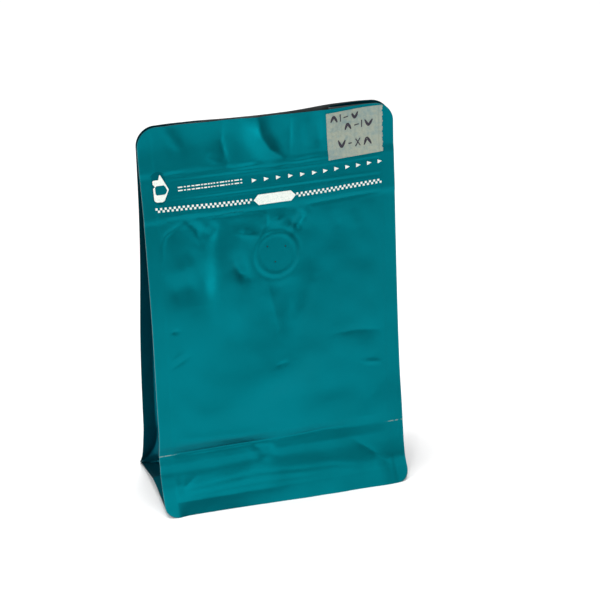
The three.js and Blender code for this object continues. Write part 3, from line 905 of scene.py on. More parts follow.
    def gusset_relief(self, s: np.ndarray, v: np.ndarray, side: int) -> np.ndarray:
        """Measures the crumpling of a gusset's free film.

        Args:
            s: Positions across the gusset.
            v: Positions up the film.
            side: -1 for the left gusset and 1 for the right one.

        Returns:
            Lift towards the outside in mm.
        """
        across = s * GUSSET_SCALE
        slack, ripple = GUSSET_SLACK
        out = slack * self.slack.lift(across + 90 * side, v)
        out = out + ripple * self.ripple.lift(across, v + 33 * side)
        for wrinkle in GUSSET_WRINKLES:
            out = out + wrinkle.lift(across * side, v)
        along = np.abs(s)
        free = smoothstep(1 - along, 0, 0.25) * smoothstep(along, 0.02, 0.2)
        return out * free * (1 - smoothstep(v, 110, 150)) * smoothstep(v, 0, 8)

    def base_edge(self, x: np.ndarray, half: np.ndarray) -> tuple[np.ndarray, np.ndarray]:
        """Finds the foot seal between the base film and a panel.

        Args:
            x: x of the points.
            half: -1 for the front and 1 for the back.

        Returns:
            Positions up the panel of the seal's lower and upper end.
        """
        radius = self.foot_radius(half)
        beside = np.clip(radius - (HALF_WIDTH - np.abs(x)), 0, radius)
        low = np.maximum(radius - np.sqrt(radius * radius - beside * beside) - CRESCENT, 0)
        seal = BASE_SEAL * (1 - smoothstep(np.abs(x), BASE_SEAL_X, BASE_CORNER_X))
        return low, low + np.maximum(seal, BASE_SEAL_LEAST)

    def underside(self, x: np.ndarray, y: np.ndarray) -> np.ndarray:
        """Gives the height of the gussets' lowest facets over the base.

        Args:
            x: x of the points.
            y: y of the points.

        Returns:
            Heights in mm.
        """
        heights = []
        for side in (-1, 1):
            foot, apex = self.gusset_foot(side), self.gusset_apex(side)
            half = np.where(y < foot[1], -1.0, 1.0)
            corner = self.root(side, half, self.corner_v(half))
            slope_x = (apex[2] - foot[2]) / (apex[0] - foot[0])
            at_corner = foot[2] + slope_x * (corner[..., 0] - foot[0])
            slope_y = (corner[..., 2] - at_corner) / np.abs(corner[..., 1] - foot[1])
            heights.append(foot[2] + slope_x * (x - foot[0]) + slope_y * np.abs(y - foot[1]))
        return np.where(x < 0, heights[0], heights[1])

    def base(self, x: np.ndarray, q: np.ndarray) -> np.ndarray:
        """Finds points of the base film's upper side.

        Args:
            x: x of the points.
            q: Positions across the base, -33 at the front foot to 33 at the back one.

        Returns:
            Points in mm.
        """
        half = np.where(q < 0, -1.0, 1.0)
        far = np.abs(q)
        free = HALF_GUSSET - BASE_SEAL
        low, high = self.base_edge(x, half)
        up_seal = lerp(low, high, (HALF_GUSSET - far) / BASE_SEAL)
        band = self.wall(half, x + HALF_WIDTH, up_seal, LAYER)
        edge = self.wall(half, x + HALF_WIDTH, high, LAYER)
        share = np.clip(far / free, 0, 1)
        y = edge[..., 1] * share
        crown = lerp(BASE_CREASE_Z, edge[..., 2], share)
        z = np.minimum(crown, self.underside(x, y) - BASE_GAP)
        middle = stack(x, y, np.maximum(z, BASE_LOWEST))
        at_side = smoothstep(np.abs(x), HALF_WIDTH - 3, HALF_WIDTH - BASE_INSET)[..., None]
        line = stack(x, y, lerp(GUSSET_FOOT_Z - BASE_GAP, edge[..., 2], share))
        middle = lerp(middle, line, at_side)
        return np.where((far > free)[..., None], band, middle)


def offset(surface: Surface, u: np.ndarray, v: np.ndarray, distance: np.ndarray | float) -> np.ndarray:
    """Moves points of a surface along its normal, on the side from which u to v turns anticlockwise.

    Args:
        surface: The surface.
        u: First positions.
        v: Second positions.
        distance: How far to move.

    Returns:
        The moved points.
    """
    normal = normals(surface, u, v)
    return surface(u, v) + normal * np.broadcast_to(distance, u.shape)[..., None]


def normals(surface: Surface, u: np.ndarray, v: np.ndarray, step: float = 0.2) -> np.ndarray:
    """Finds the unit normals of a surface.

    Args:
        surface: The surface.
        u: First positions.
        v: Second positions.
        step: Half the distance over which the slopes are taken.

    Returns:
        Unit vectors.
    """
    du = surface(u + step, v) - surface(u - step, v)
    dv = surface(u, v + step) - surface(u, v - step)
    cross = np.cross(du, dv)
    return cross / np.maximum(np.linalg.norm(cross, axis=-1, keepdims=True), 1e-9)


# ------------------------------------------------------------------ shader helpers


class Socket:
    """A shader value that can be used in arithmetic."""

    def __init__(self, nodes: "Nodes", output: bpy.types.NodeSocket) -> None:
        """Wraps an output.

        Args:
            nodes: The node tree's builder.
            output: The output socket.
        """
        self.nodes = nodes
        self.output = output

    def math(self, operation: str, *others: "Socket | float") -> "Socket":
        """Adds a Math node that starts from this value.

        Args:
            operation: The node's operation.
            others: The other inputs.

        Returns:
            The result.
        """
        inputs = dict(enumerate((self, *others)))
        return self.nodes.add("ShaderNodeMath", {"operation": operation}, inputs)

    def __add__(self, other: "Socket | float") -> "Socket":
        """Adds.

        Args:
            other: The other term.

        Returns:
            The sum.
        """
        return self.math("ADD", other)

    __radd__ = __add__

    def __mul__(self, other: "Socket | float") -> "Socket":
        """Multiplies.

        Args:
            other: The other factor.

        Returns:
            The product.
        """
        return self.math("MULTIPLY", other)

    __rmul__ = __mul__

    def __sub__(self, other: "Socket | float") -> "Socket":
        """Subtracts.

        Args:
            other: What is taken away.

        Returns:
            The difference.
        """
        return self.math("SUBTRACT", other)

    def __rsub__(self, other: float) -> "Socket":
        """Subtracts this value from a number.

        Args:
            other: The number.

        Returns:
            The difference.
        """
        return (self * -1.0) + other

    def ramp(self, low: float, high: float) -> "Socket":
        """Rises smoothly from 0 at low to 1 at high.

        Args:
            low: Where the rise starts.
            high: Where it ends.

        Returns:
            The ramp's value.
        """
        settings = {"interpolation_type": "SMOOTHSTEP"}
        inputs = {"Value": self, "From Min": low, "From Max": high}
        return self.nodes.add("ShaderNodeMapRange", settings, inputs)


class Nodes:
    """Builds the node tree of one material."""

    # The Mix node's colour sockets share their names with its other sockets, so they go by number.
    MIX_A = 6
    MIX_B = 7
    MIX_RESULT = 2

    def __init__(self, name: str) -> None:
        """Makes an empty material with a Principled shader.

        Args:
            name: Name of the material.
        """
        self.material = bpy.data.materials.new(name)
        self.material.use_nodes = True
        self.tree = self.material.node_tree
        self.shader = self.tree.nodes["Principled BSDF"]

    def add(self, kind: str, settings: dict, inputs: dict, output: int | str = 0) -> Socket:
        """Adds a node.

        Args:
            kind: The node's type.
            settings: Attributes of the node.
            inputs: Values or sockets by input name or number.
            output: Which output is wanted.

        Returns:
            The chosen output.
        """
        node = self.tree.nodes.new(kind)
        for name, value in settings.items():
            setattr(node, name, value)
        for name, value in inputs.items():
            self.put(node.inputs[name], value)
        return Socket(self, node.outputs[output])

    def put(self, target: bpy.types.NodeSocket, value: Socket | float | Sequence[float]) -> None:
        """Links or sets an input.

        Args:
            target: The input.
            value: A socket to link, or a plain value.
        """
        if isinstance(value, Socket):
            self.tree.links.new(value.output, target)
        else:
            target.default_value = value

    def surface(self, **values: Socket | float | Sequence[float]) -> None:
        """Sets inputs of the Principled shader, with _ for a space in their names.

        Args:
            values: Values or sockets by input name.
        """
        for name, value in values.items():
            self.put(self.shader.inputs[name.replace("_", " ")], value)

    def place(self) -> Socket:
        """Gives positions in the object's own frame.

        Returns:
            The object coordinates.
        """
        return self.add("ShaderNodeTexCoord", {}, {}, "Object")

    def flat(self, axis: str) -> Socket:
        """Gives a position on the flat film in mm.

        Args:
            axis: "X" across the film or "Y" up it.

        Returns:
            The position.
        """
        uv = self.add("ShaderNodeTexCoord", {}, {}, "UV")
        return self.add("ShaderNodeSeparateXYZ", {}, {0: uv}, axis) * PANEL_HEIGHT

    def noise(
        self,
        scale: float,
        detail: float = 3.0,
        stretch: Sequence[float] = (1, 1, 1),
        roughness: float = 0.5,
    ) -> Socket:
        """Adds fractal noise in the object's own frame.

        Args:
            scale: Waves per metre.
            detail: Octaves.
            stretch: Scale along each axis.
            roughness: Weight of the finer octaves.

        Returns:
            The noise, about 0.5 on average.
        """
        at = self.add("ShaderNodeMapping", {}, {"Vector": self.place(), "Scale": stretch})
        inputs = {"Vector": at, "Scale": scale, "Detail": detail, "Roughness": roughness}
        return self.add("ShaderNodeTexNoise", {}, inputs)

    def mix(self, a: Socket | Colour, b: Socket | Colour, share: Socket | float) -> Socket:
        """Blends two colours.

        Args:
            a: The colour at share 0.
            b: The colour at share 1.
            share: The share of b.

        Returns:
            The blended colour.
        """
        inputs = {0: share, self.MIX_A: a, self.MIX_B: b}
        return self.add("ShaderNodeMix", {"data_type": "RGBA"}, inputs, self.MIX_RESULT)

    def bump(self, height: Socket, strength: float, distance: float) -> Socket:
        """Turns a height into a normal.

        Args:
            height: The height.
            strength: Share of the effect.
            distance: Height in metres of a step of 1.

        Returns:
            The bent normal.
        """
        inputs = {"Height": height, "Strength": strength, "Distance": distance}
        return self.add("ShaderNodeBump", {}, inputs)


def srgb(red: int, green: int, blue: int) -> Colour:
    """Turns a screen colour into a linear one.

    Args:
        red: 0 to 255.
        green: 0 to 255.
        blue: 0 to 255.

    Returns:
        Linear red, green, blue and alpha.
    """
    def linear(value: int) -> float:
        share = value / 255
        return share / 12.92 if share <= 0.04045 else ((share + 0.055) / 1.055) ** 2.4

    return (linear(red), linear(green), linear(blue), 1.0)


# ------------------------------------------------------------------ finishes


@dataclass(frozen=True)
class FoilFilm:
    """Satin lacquered colour over aluminium foil, the bag's outer face."""

    name: str = "teal_foil_film"
    base: Colour = field(default_factory=lambda: srgb(0, 114, 125))
    deep: Colour = field(default_factory=lambda: srgb(0, 109, 119))
    # The next colour is a painted highlight: paler teal along the film's cut edges, where the edge's
    # curl catches light.
    worn: Colour = field(default_factory=lambda: srgb(40, 165, 175))
    bare: Colour = field(default_factory=lambda: srgb(170, 176, 164))
    # The next colour is painted shade along the front film's foot seal, where the film turns in and
    # faces down.
    foot_shade_colour: Colour = field(default_factory=lambda: srgb(0, 82, 92))
    metallic: float = 0.94
    roughness: float = 0.38
    rim_highlight_share: float = 0.15
    crease_wear: float = 0.5
    foot_shade_share: float = 0.6

    def build(self) -> bpy.types.Material:
        """Makes the material.

        Returns:
            The material.
        """
        nodes = Nodes(self.name)
        cloud = nodes.noise(26, detail=2)
        colour = nodes.mix(self.base, self.deep, cloud.ramp(0.3, 0.7))
        across = nodes.flat("X")
        up = nodes.flat("Y")
        aside = across.math("MINIMUM", PANEL_WIDTH - across)
        rim = 1.0 - aside.ramp(0.25, 0.9)
        at_crease = 1.0 - (up - CREASE_V).math("ABSOLUTE").ramp(0.08, 0.4)
        near_side = 1.0 - aside.ramp(5.0, 11.0)
        rubbed = at_crease * near_side * nodes.noise(700, detail=2).ramp(0.32, 0.52)
        # Painted shade: the foot seal's strip is darkened, most on the left where the film turns in
        # furthest.
        in_seal = (1.0 - up.ramp(FOOT_CURL_V - 0.6, FOOT_CURL_V + 0.3)) * across.ramp(6.0, 7.6)
        foot_shade_mask = in_seal * (1.0 - across.ramp(20.0, 80.0) * FOOT_CURL_FADE)
        # Painted highlight: paler teal along the film's cut edges.
        colour = nodes.mix(colour, self.worn, rim * self.rim_highlight_share)
        colour = nodes.mix(colour, self.bare, rubbed * self.crease_wear)
        colour = nodes.mix(colour, self.foot_shade_colour, foot_shade_mask * self.foot_shade_share)
        grain = nodes.noise(900, detail=3, roughness=0.6)
        dents = nodes.noise(150, detail=4, roughness=0.55)
        nodes.surface(
            Base_Color=colour,
            Metallic=self.metallic,
            Roughness=self.roughness + (dents - 0.5) * 0.06,
            Normal=nodes.bump(dents * 0.4 + grain * 0.12, 0.15, 0.0006),
            Specular_IOR_Level=0.1,
        )
        return nodes.material


@dataclass(frozen=True)
class SilverFilm:
    """The clear heat-seal layer over bare foil, the bag's inner face."""

    name: str = "silver_inner_film"
    base: Colour = field(default_factory=lambda: srgb(150, 156, 156))
    shade: Colour = field(default_factory=lambda: srgb(118, 126, 128))

    def build(self) -> bpy.types.Material:
        """Makes the material.

        Returns:
            The material.
        """
        nodes = Nodes(self.name)
        streaks = nodes.noise(90, detail=4, stretch=(1.0, 1.0, 0.35))
        grain = nodes.noise(700, detail=2)
        nodes.surface(
            Base_Color=nodes.mix(self.base, self.shade, streaks.ramp(0.35, 0.65)),
            Metallic=0.85,
            Roughness=0.34 + grain * 0.12,
            Normal=nodes.bump(streaks + grain * 0.2, 0.4, 0.0006),
        )
        return nodes.material


@dataclass(frozen=True)
class PrintInk:
    """Flat off-white gravure ink with a little mottle."""

    name: str = "off_white_ink"
    base: Colour = field(default_factory=lambda: srgb(222, 226, 219))
    thin: Colour = field(default_factory=lambda: srgb(196, 209, 202))
    roughness: float = 0.5

    def build(self) -> bpy.types.Material:
        """Makes the material.

        Returns:
            The material.
        """
        nodes = Nodes(self.name)
        mottle = nodes.noise(1800, detail=3)
        nodes.surface(
            Base_Color=nodes.mix(self.base, self.thin, mottle.ramp(0.4, 0.72)),
            Roughness=self.roughness + (mottle - 0.5) * 0.1,
            Normal=nodes.bump(mottle, 0.2, 0.00005),
        )
        return nodes.material


@dataclass(frozen=True)
class CrepePaper:
    """Grey-beige crepe masking tape that lets a little of the colour behind it through."""

    name: str = "crepe_tape"
    base: Colour = field(default_factory=lambda: srgb(145, 152, 138))
    shade: Colour = field(default_factory=lambda: srgb(118, 138, 136))

    def build(self) -> bpy.types.Material:
        """Makes the material.

        Returns:
            The material.
        """
        nodes = Nodes(self.name)
        crepe = nodes.noise(420, detail=5, stretch=(1.0, 1.0, 1.2), roughness=0.66)
        cloud = nodes.noise(90, detail=3)
        fibres = nodes.noise(2400, detail=2, stretch=(0.5, 1.0, 1.8))
        share = (crepe * 0.65 + cloud * 0.35).ramp(0.38, 0.68)
        nodes.surface(
            Base_Color=nodes.mix(self.base, self.shade, share),
            Roughness=0.82 + (cloud - 0.5) * 0.1,
            Normal=nodes.bump(crepe + fibres * 0.15, 0.7, 0.0004),
            Specular_IOR_Level=0.25,
        )
        return nodes.material


@dataclass(frozen=True)
class MarkerInk:
    """Dark felt-pen ink soaked into paper."""

    name: str = "marker_ink"
    base: Colour = field(default_factory=lambda: srgb(24, 18, 32))
    faint: Colour = field(default_factory=lambda: srgb(44, 40, 56))

    def build(self) -> bpy.types.Material:
        """Makes the material.

        Returns:
            The material.
        """
        nodes = Nodes(self.name)
        soak = nodes.noise(1300, detail=3)
        colour = nodes.mix(self.base, self.faint, soak.ramp(0.42, 0.66))
        nodes.surface(Base_Color=colour, Roughness=0.6 + soak * 0.1)
        return nodes.material


@dataclass(frozen=True)
class MouldedPlastic:
    """Plain milky polyethylene."""

    name: str
    base: Colour
    roughness: float = 0.45

    def build(self) -> bpy.types.Material:
        """Makes the material.

        Returns:
            The material.
        """
        nodes = Nodes(self.name)
        grain = nodes.noise(900, detail=3)
        flow = nodes.noise(120, detail=2, stretch=(0.3, 1.0, 1.0))
        red, green, blue, alpha = self.base
        shade = (0.86 * red, 0.86 * green, 0.86 * blue, alpha)
        nodes.surface(
            Base_Color=nodes.mix(self.base, shade, flow.ramp(0.35, 0.7)),
            Roughness=self.roughness + (grain - 0.5) * 0.12,
            Normal=nodes.bump(grain + flow, 0.2, 0.0001),
            Subsurface_Weight=0.15,
            Subsurface_Scale=0.002,
        )
        return nodes.material


@dataclass(frozen=True)
class Backdrop:
    """Plain near-white studio paper."""

    name: str = "studio_paper"
    base: Colour = field(default_factory=lambda: srgb(250, 250, 250))

    def build(self) -> bpy.types.Material:
        """Makes the material.

        Returns:
            The material.
        """
        nodes = Nodes(self.name)
        nodes.surface(Base_Color=self.base, Roughness=0.9, Specular_IOR_Level=0.1)
        return nodes.material


# ------------------------------------------------------------------ mesh helpers


@dataclass
class SheetMesh:
    """A closed thin sheet between two surfaces over one grid."""

    name: str
    upper: np.ndarray
    lower: np.ndarray
    flat: tuple[np.ndarray, np.ndarray]
    upper_slot: int = 0
    lower_slot: int = 1

    def build(self, materials: Sequence[bpy.types.Material]) -> bpy.types.Object:
        """Makes the object.

        Args:
            materials: The object's materials.

        Returns:
            The object, in metres.
        """
        high, wide = self.upper.shape[:2]
        points = np.concatenate([self.upper.reshape(-1, 3), self.lower.reshape(-1, 3)])
        points[:, 2] = np.maximum(points[:, 2], 0)
        count = wide * high
        grid = np.arange(count).reshape(high, wide)
        a, b = grid[:-1, :-1].ravel(), grid[:-1, 1:].ravel()
        c, d = grid[1:, 1:].ravel(), grid[1:, :-1].ravel()
        top = np.stack([a, b, c, d], axis=1)
        bottom = np.stack([a, d, c, b], axis=1) + count
        rim = np.concatenate([grid[0, :], grid[1:, -1], grid[-1, -2::-1], grid[-2:0:-1, 0]])
        after = np.roll(rim, -1)
        wall = np.stack([rim, rim + count, after + count, after], axis=1)
        faces = np.concatenate([top, bottom, wall])
        mesh = bpy.data.meshes.new(self.name)
        mesh.from_pydata(points * MM, [], faces.tolist())
        slots = np.full(len(faces), self.upper_slot, dtype=np.int32)
        slots[len(top):len(top) + len(bottom)] = self.lower_slot
        mesh.polygons.foreach_set("material_index", slots)
        flat_u = np.tile(self.flat[0].ravel(), 2) / PANEL_HEIGHT
        flat_v = np.tile(self.flat[1].ravel(), 2) / PANEL_HEIGHT
        corners = faces.ravel()
        layer = mesh.uv_layers.new(name="flat")
        layer.data.foreach_set("uv", np.stack([flat_u[corners], flat_v[corners]], axis=1).ravel())
        return to_object(self.name, mesh, materials)


def to_object(
    name: str, mesh: bpy.types.Mesh, materials: Sequence[bpy.types.Material]
) -> bpy.types.Object:
    """Puts a mesh in the scene, smooth with sharp rims.

    Args:
        name: Name of the object.
        mesh: Its mesh.
        materials: Its materials.

    Returns:
        The object.
    """
    mesh.validate()
    for material in materials:
        mesh.materials.append(material)
    obj = bpy.data.objects.new(name, mesh)
    bpy.context.scene.collection.objects.link(obj)
    mesh.shade_smooth()
    mesh.set_sharp_from_angle(angle=math.radians(50))
    return obj


def patch_mesh(name: str, patches: Sequence[np.ndarray]) -> bpy.types.Mesh:
    """Joins grids of points into one mesh of quads.

    Args:
        name: Name of the mesh.
        patches: Grids of points in mm.

    Returns:
        The mesh, in metres.
    """
    faces: list[tuple[int, ...]] = []
    count = 0
    for patch in patches:
        high, wide = patch.shape[:2]
        for j in range(high - 1):
            for i in range(wide - 1):
                a = count + j * wide + i
                faces.append((a, a + 1, a + wide + 1, a + wide))
        count += high * wide
    points = np.concatenate([patch.reshape(-1, 3) for patch in patches])
    mesh = bpy.data.meshes.new(name)
    mesh.from_pydata(points * MM, [], faces)
    return mesh


def attach(obj: bpy.types.Object, slot: str, *nodes: str) -> bpy.types.Object:
    """Makes a piece ride on the bag.

    Args:
        obj: The piece.
        slot: The record's material slot; not used.
        nodes: CAD nodes that it stands for.

    Returns:
        The piece.
    """
    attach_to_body(obj, "root")
    if nodes:
        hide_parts(*nodes)
    logger.info("%s: %d faces", obj.name, len(obj.data.polygons))
    return obj


def carve(obj: bpy.types.Object, cutters: list[bpy.types.Object]) -> None:
    """Cuts solids out of a piece and removes them.

    Args:
        obj: The piece.
        cutters: The solids.
    """
    for cutter in cutters:
        modifier = obj.modifiers.new("cut", "BOOLEAN")
        modifier.operation = "DIFFERENCE"
        modifier.solver = "EXACT"
        modifier.object = cutter
    bpy.context.view_layer.update()
    evaluated = obj.evaluated_get(bpy.context.evaluated_depsgraph_get())
    cut_mesh = bpy.data.meshes.new_from_object(evaluated)
    obj.modifiers.clear()
    obj.data = cut_mesh
    for cutter in cutters:
        bpy.data.objects.remove(cutter)


def prism(
    name: str, outline: Sequence[Pair], low: float, high: float, place: "Placement"
) -> bpy.types.Object:
    """Makes a prism that stands on a plane.

    Args:
        name: Name of the object.
        outline: Its outline in mm, on the plane.
        low: Height of its foot.
        high: Height of its top.
        place: Where the plane lies.

    Returns:
        The prism.
    """
    ring = list(outline)
    area = sum(a[0] * b[1] - b[0] * a[1] for a, b in zip(ring, ring[1:] + ring[:1]))
    if area < 0:
        ring.reverse()
    count = len(ring)
    points = [place.at(a, b, height) for height in (low, high) for a, b in ring]
    faces = [tuple(range(count - 1, -1, -1)), tuple(range(count, 2 * count))]
    faces += [(i, (i + 1) % count, (i + 1) % count + count, i + count) for i in range(count)]
    mesh = bpy.data.meshes.new(name)
    mesh.from_pydata([p * MM for p in points], [], faces)
    obj = bpy.data.objects.new(name, mesh)
    bpy.context.scene.collection.objects.link(obj)
    return obj


@dataclass(frozen=True)
class Placement:
    """A plane that lies on the front panel at one point."""

    origin: Vector
    right: Vector
    up: Vector
    out: Vector

    @classmethod
    def on_front(cls, shape: BagShape, u: float, v: float) -> "Placement":
        """Finds the plane at a point of the front.

        Args:
            shape: The bag's surfaces.
            u: Position across the panel.
            v: Position up the panel.

        Returns:
            The plane.
        """
        at_u, at_v = np.array([u]), np.array([v])
        out = Vector(normals(shape.front, at_u, at_v, step=2.0)[0])
        right = Vector(shape.front(at_u + 1, at_v)[0] - shape.front(at_u - 1, at_v)[0]).normalized()
        return cls(Vector(shape.front(at_u, at_v)[0]), right, out.cross(right), out)

    def at(self, right: float, up: float, out: float) -> Vector:
        """Finds a point by its place on the plane.

        Args:
            right: Distance across.
            up: Distance up.
            out: Distance out of the bag.

        Returns:
            The point in mm.
        """
        return self.origin + self.right * right + self.up * up + self.out * out


def corner_arc(radius: float, count: int) -> list[Pair]:
    """Rounds a corner of the flat bag.

    Args:
        radius: Radius of the punch.
        count: Facets of the arc.

    Returns:
        Insets from the side and heights from the end.
    """
    turns = [k / count * math.pi / 2 for k in range(count + 1)]
    return [(radius * (1 - math.sin(turn)), radius * (1 - math.cos(turn))) for turn in turns]


def panel_grid(foot_radius: float, step: float) -> tuple[np.ndarray, np.ndarray]:
    """Lays a grid over a panel with punched corners.

    Args:
        foot_radius: Radius of its bottom corners.
        step: Spacing of the grid in mm.

    Returns:
        Positions across and up the panel, one row for each v.
    """
    foot = np.array(corner_arc(foot_radius, 12))
    top = np.array(corner_arc(TOP_RADIUS, 14))
    straight = PANEL_HEIGHT - TOP_RADIUS - foot_radius
    middle = np.linspace(foot_radius, PANEL_HEIGHT - TOP_RADIUS, round(straight / step) + 1)
    rows = np.concatenate([foot[:, 1], middle[1:-1], (PANEL_HEIGHT - top[:, 1])[::-1]])
    inset = np.concatenate([foot[:, 0], np.zeros(len(middle) - 2), top[:, 0][::-1]])
    share = np.linspace(0, 1, round(PANEL_WIDTH / step) + 1)
    v = np.repeat(rows[:, None], len(share), axis=1)
    u = inset[:, None] + (PANEL_WIDTH - 2 * inset[:, None]) * share[None, :]
    return u, v


# ------------------------------------------------------------------ the pieces


@dataclass
class Finishes:
    """The materials of the whole bag."""

    foil: bpy.types.Material
    side_foil: bpy.types.Material
    window_foil: bpy.types.Material
    silver: bpy.types.Material
    ink: bpy.types.Material
    tape: bpy.types.Material
    marker: bpy.types.Material
    zipper: bpy.types.Material
    valve: bpy.types.Material

    @classmethod
    def make(cls) -> "Finishes":
        """Builds every material once.

        Returns:
            The materials.
        """
        return cls(
            foil=FoilFilm().build(),
            # The gussets' foil is the front's film painted darker, as shade inside the folded pleats.
            side_foil=FoilFilm("shaded_gusset_foil_film", srgb(0, 90, 104), srgb(0, 82, 96)).build(),
            # The film seen through the tab's window is the front's foil painted darker, as shade behind
            # the window's edge.
            window_foil=FoilFilm("shaded_teal_foil_film", srgb(0, 102, 112), srgb(0, 97, 107)).build(),
            silver=SilverFilm().build(),
            ink=PrintInk().build(),
            tape=CrepePaper().build(),
            marker=MarkerInk().build(),
            zipper=MouldedPlastic("milky_zipper", srgb(214, 218, 214)).build(),
            valve=MouldedPlastic("valve_plastic", srgb(96, 100, 100)).build(),
        )

    def laminate(self) -> list[bpy.types.Material]:
        """Gives the two faces of the panels' film.

        Returns:
            The outer and the inner material.
        """
        return [self.foil, self.silver]


@dataclass
class FrontPanel:
    """The printed front film with its punched tab window and the valve's pinholes."""

    shape: BagShape
    finishes: Finishes
    step: float = 0.72

    PUNCH_REACH: ClassVar[Pair] = (-3.0, 3.0)
    PIN_REACH: ClassVar[Pair] = (-0.7, 2.0)

    def build(self) -> bpy.types.Object:
        """Makes the panel.

        Returns:
            The panel.
        """
        u, v = panel_grid(FRONT_FOOT_RADIUS, self.step)
        outer = self.shape.front(u, v)
        inner = offset(self.shape.front, u, v, -FILM)
        film = SheetMesh("front_film", outer, inner, (u, v)).build(self.finishes.laminate())
        carve(film, [self.window(), *(self.pinhole(k, at) for k, at in enumerate(PINHOLES))])
        return attach(film, "pouch_film", "front_panel")

    def window(self) -> bpy.types.Object:
        """Makes the punch of the tear-off tab's window.

        Returns:
            The cutter.
        """
        facets = 14
        radius = WINDOW_WIDTH / 2
        straight = WINDOW_HEIGHT / 2 - radius
        turns = [math.pi * k / facets for k in range(facets + 1)]
        half = [(radius * math.cos(t), straight + radius * math.sin(t)) for t in turns]
        outline = half + [(-a, -b) for a, b in half]
        plane = Placement.on_front(self.shape, WINDOW_U, WINDOW_V)
        return prism("window_punch", outline, *self.PUNCH_REACH, plane)

    def pinhole(self, number: int, at: Pair) -> bpy.types.Object:
        """Makes the pin of one hole.

        Args:
            number: Which hole it is.
            at: Its place on the panel.

        Returns:
            The cutter.
        """
        facets = 14
        turns = [2 * math.pi * k / facets for k in range(facets)]
        outline = [(PINHOLE_RADIUS * math.cos(t), PINHOLE_RADIUS * math.sin(t)) for t in turns]
        return prism(f"pin_{number}", outline, *self.PIN_REACH, Placement.on_front(self.shape, *at))


@dataclass
class BackPanel:
    """The plain back film."""

    shape: BagShape
    finishes: Finishes
    step: float = 1.2

    def build(self) -> bpy.types.Object:
        """Makes the panel.

        Returns:
            The panel.
        """
        u, v = panel_grid(BACK_FOOT_RADIUS, self.step)
        inner = offset(self.shape.back, u, v, FILM)
        outer = self.shape.back(u, v)
        sheet = SheetMesh("back_film", inner, outer, (u, v), upper_slot=1, lower_slot=0)
        return attach(sheet.build(self.finishes.laminate()), "pouch_film", "back_panel")


@dataclass
class SideGusset:
    """One side gusset, folded inwards, with its creased foot."""

    shape: BagShape
    finishes: Finishes
    side: int

    PUNCH_REACH: ClassVar[Pair] = (-40.0, 40.0)

    def columns(self) -> np.ndarray:
        """Places the grid's columns across the gusset.

        Returns:
            Positions s.
        """
        tip = np.linspace(0, FOLD_SHARE, 5)
        leg = np.linspace(FOLD_SHARE, 1 - STEP_SHARE, 26)[1:]
        half = np.concatenate([tip, leg, [1 - STEP_SHARE / 2, 1 - 1e-4], np.linspace(1, 2, 7)[1:]])
        return np.concatenate([-half[::-1], half[1:]])

    def rows(self) -> np.ndarray:
        """Places the grid's rows up the gusset.

        Returns:
            Positions v.
        """
        upright = np.linspace(RULED_UP_TO, PANEL_HEIGHT, 110)
        return np.concatenate([[0, 0.5], np.arange(1, RULED_UP_TO, 1.0), upright])

    def face(self, s: np.ndarray, v: np.ndarray) -> np.ndarray:
        """Finds points of the gusset's silver side, without crumpling.

        Args:
            s: Positions across.
            v: Positions up.

        Returns:
            Points in mm.
        """
        return self.shape.gusset(self.side, s, np.clip(v, 0, PANEL_HEIGHT))

    def build(self) -> bpy.types.Object:
        """Makes the gusset.

        Returns:
            The gusset.
        """
        name = "left" if self.side < 0 else "right"
        s, v = np.meshgrid(self.columns(), self.rows())
        outwards = normals(self.face, s, v, step=0.02) * self.side
        silver = self.face(s, v) + outwards * self.shape.gusset_relief(s, v, self.side)[..., None]
        teal = silver + outwards * FILM
        flat = (HALF_WIDTH + s * GUSSET_SCALE, v)
        slots = (1, 0) if self.side < 0 else (0, 1)
        pair = (silver, teal) if self.side < 0 else (teal, silver)
        sheet = SheetMesh(f"gusset_{name}_film", *pair, flat, *slots)
        # The gusset's teal face takes the foil painted darker as shade in the pleat.
        film = sheet.build([self.finishes.side_foil, self.finishes.silver])
        carve(film, [self.corner_punch()])
        return attach(film, "pouch_film", f"gusset_{name}")

    def corner_punch(self) -> bpy.types.Object:
        """Makes the punch that rounds the gusset's top corner.

        Returns:
            The cutter.
        """
        top = float(self.shape.level(PANEL_HEIGHT))
        corner = corner_arc(TOP_RADIUS, 14)
        arc = [(self.side * (HALF_WIDTH - inset), top - drop) for inset, drop in corner]
        over = 4.0
        out = self.side * (HALF_WIDTH + over)
        start = self.side * (HALF_WIDTH - TOP_RADIUS)
        outline = [*arc, (out, top - TOP_RADIUS), (out, top + over), (start, top + over)]
        plane = Placement(Vector((0, 0, 0)), Vector((1, 0, 0)), Vector((0, 0, 1)), Vector((0, -1, 0)))
        return prism("corner_punch", outline, *self.PUNCH_REACH, plane)


@dataclass
class BaseFilm:
    """The folded-out bottom film."""

    shape: BagShape
    finishes: Finishes

    def build(self) -> bpy.types.Object:
        """Makes the base.

        Returns:
            The base.
        """
        reach = HALF_WIDTH - BASE_INSET
        outer = np.linspace(BASE_SEAL_X, reach, 34)
        inner = np.linspace(-BASE_SEAL_X, BASE_SEAL_X, 40)[1:-1]
        xs = np.concatenate([-outer[::-1], inner, outer])
        free = HALF_GUSSET - BASE_SEAL
        half = np.concatenate([np.linspace(0, free, 22), np.linspace(free, HALF_GUSSET, 7)[1:]])
        x, q = np.meshgrid(xs, np.concatenate([-half[::-1], half[1:]]))
        upper = self.shape.base(x, q)
        normal = normals(self.shape.base, x, q, step=0.3)
        ripple = BASE_SLACK * self.shape.slack.lift(x, q * 1.5 + 30)
        ripple = ripple * smoothstep(free - np.abs(q), 0, 5)
        ripple = ripple * (1 - smoothstep(np.abs(x), HALF_WIDTH - 12, HALF_WIDTH - 3))
        upper = upper - normal * np.maximum(ripple, -0.1)[..., None]
        lower = upper - normal * FILM
        flat = (x + HALF_WIDTH, q + BASE_FLAT_V)
        sheet = SheetMesh("base_sheet", upper, lower, flat, upper_slot=1, lower_slot=0)
        return attach(sheet.build(self.finishes.laminate()), "pouch_film", "base_film")


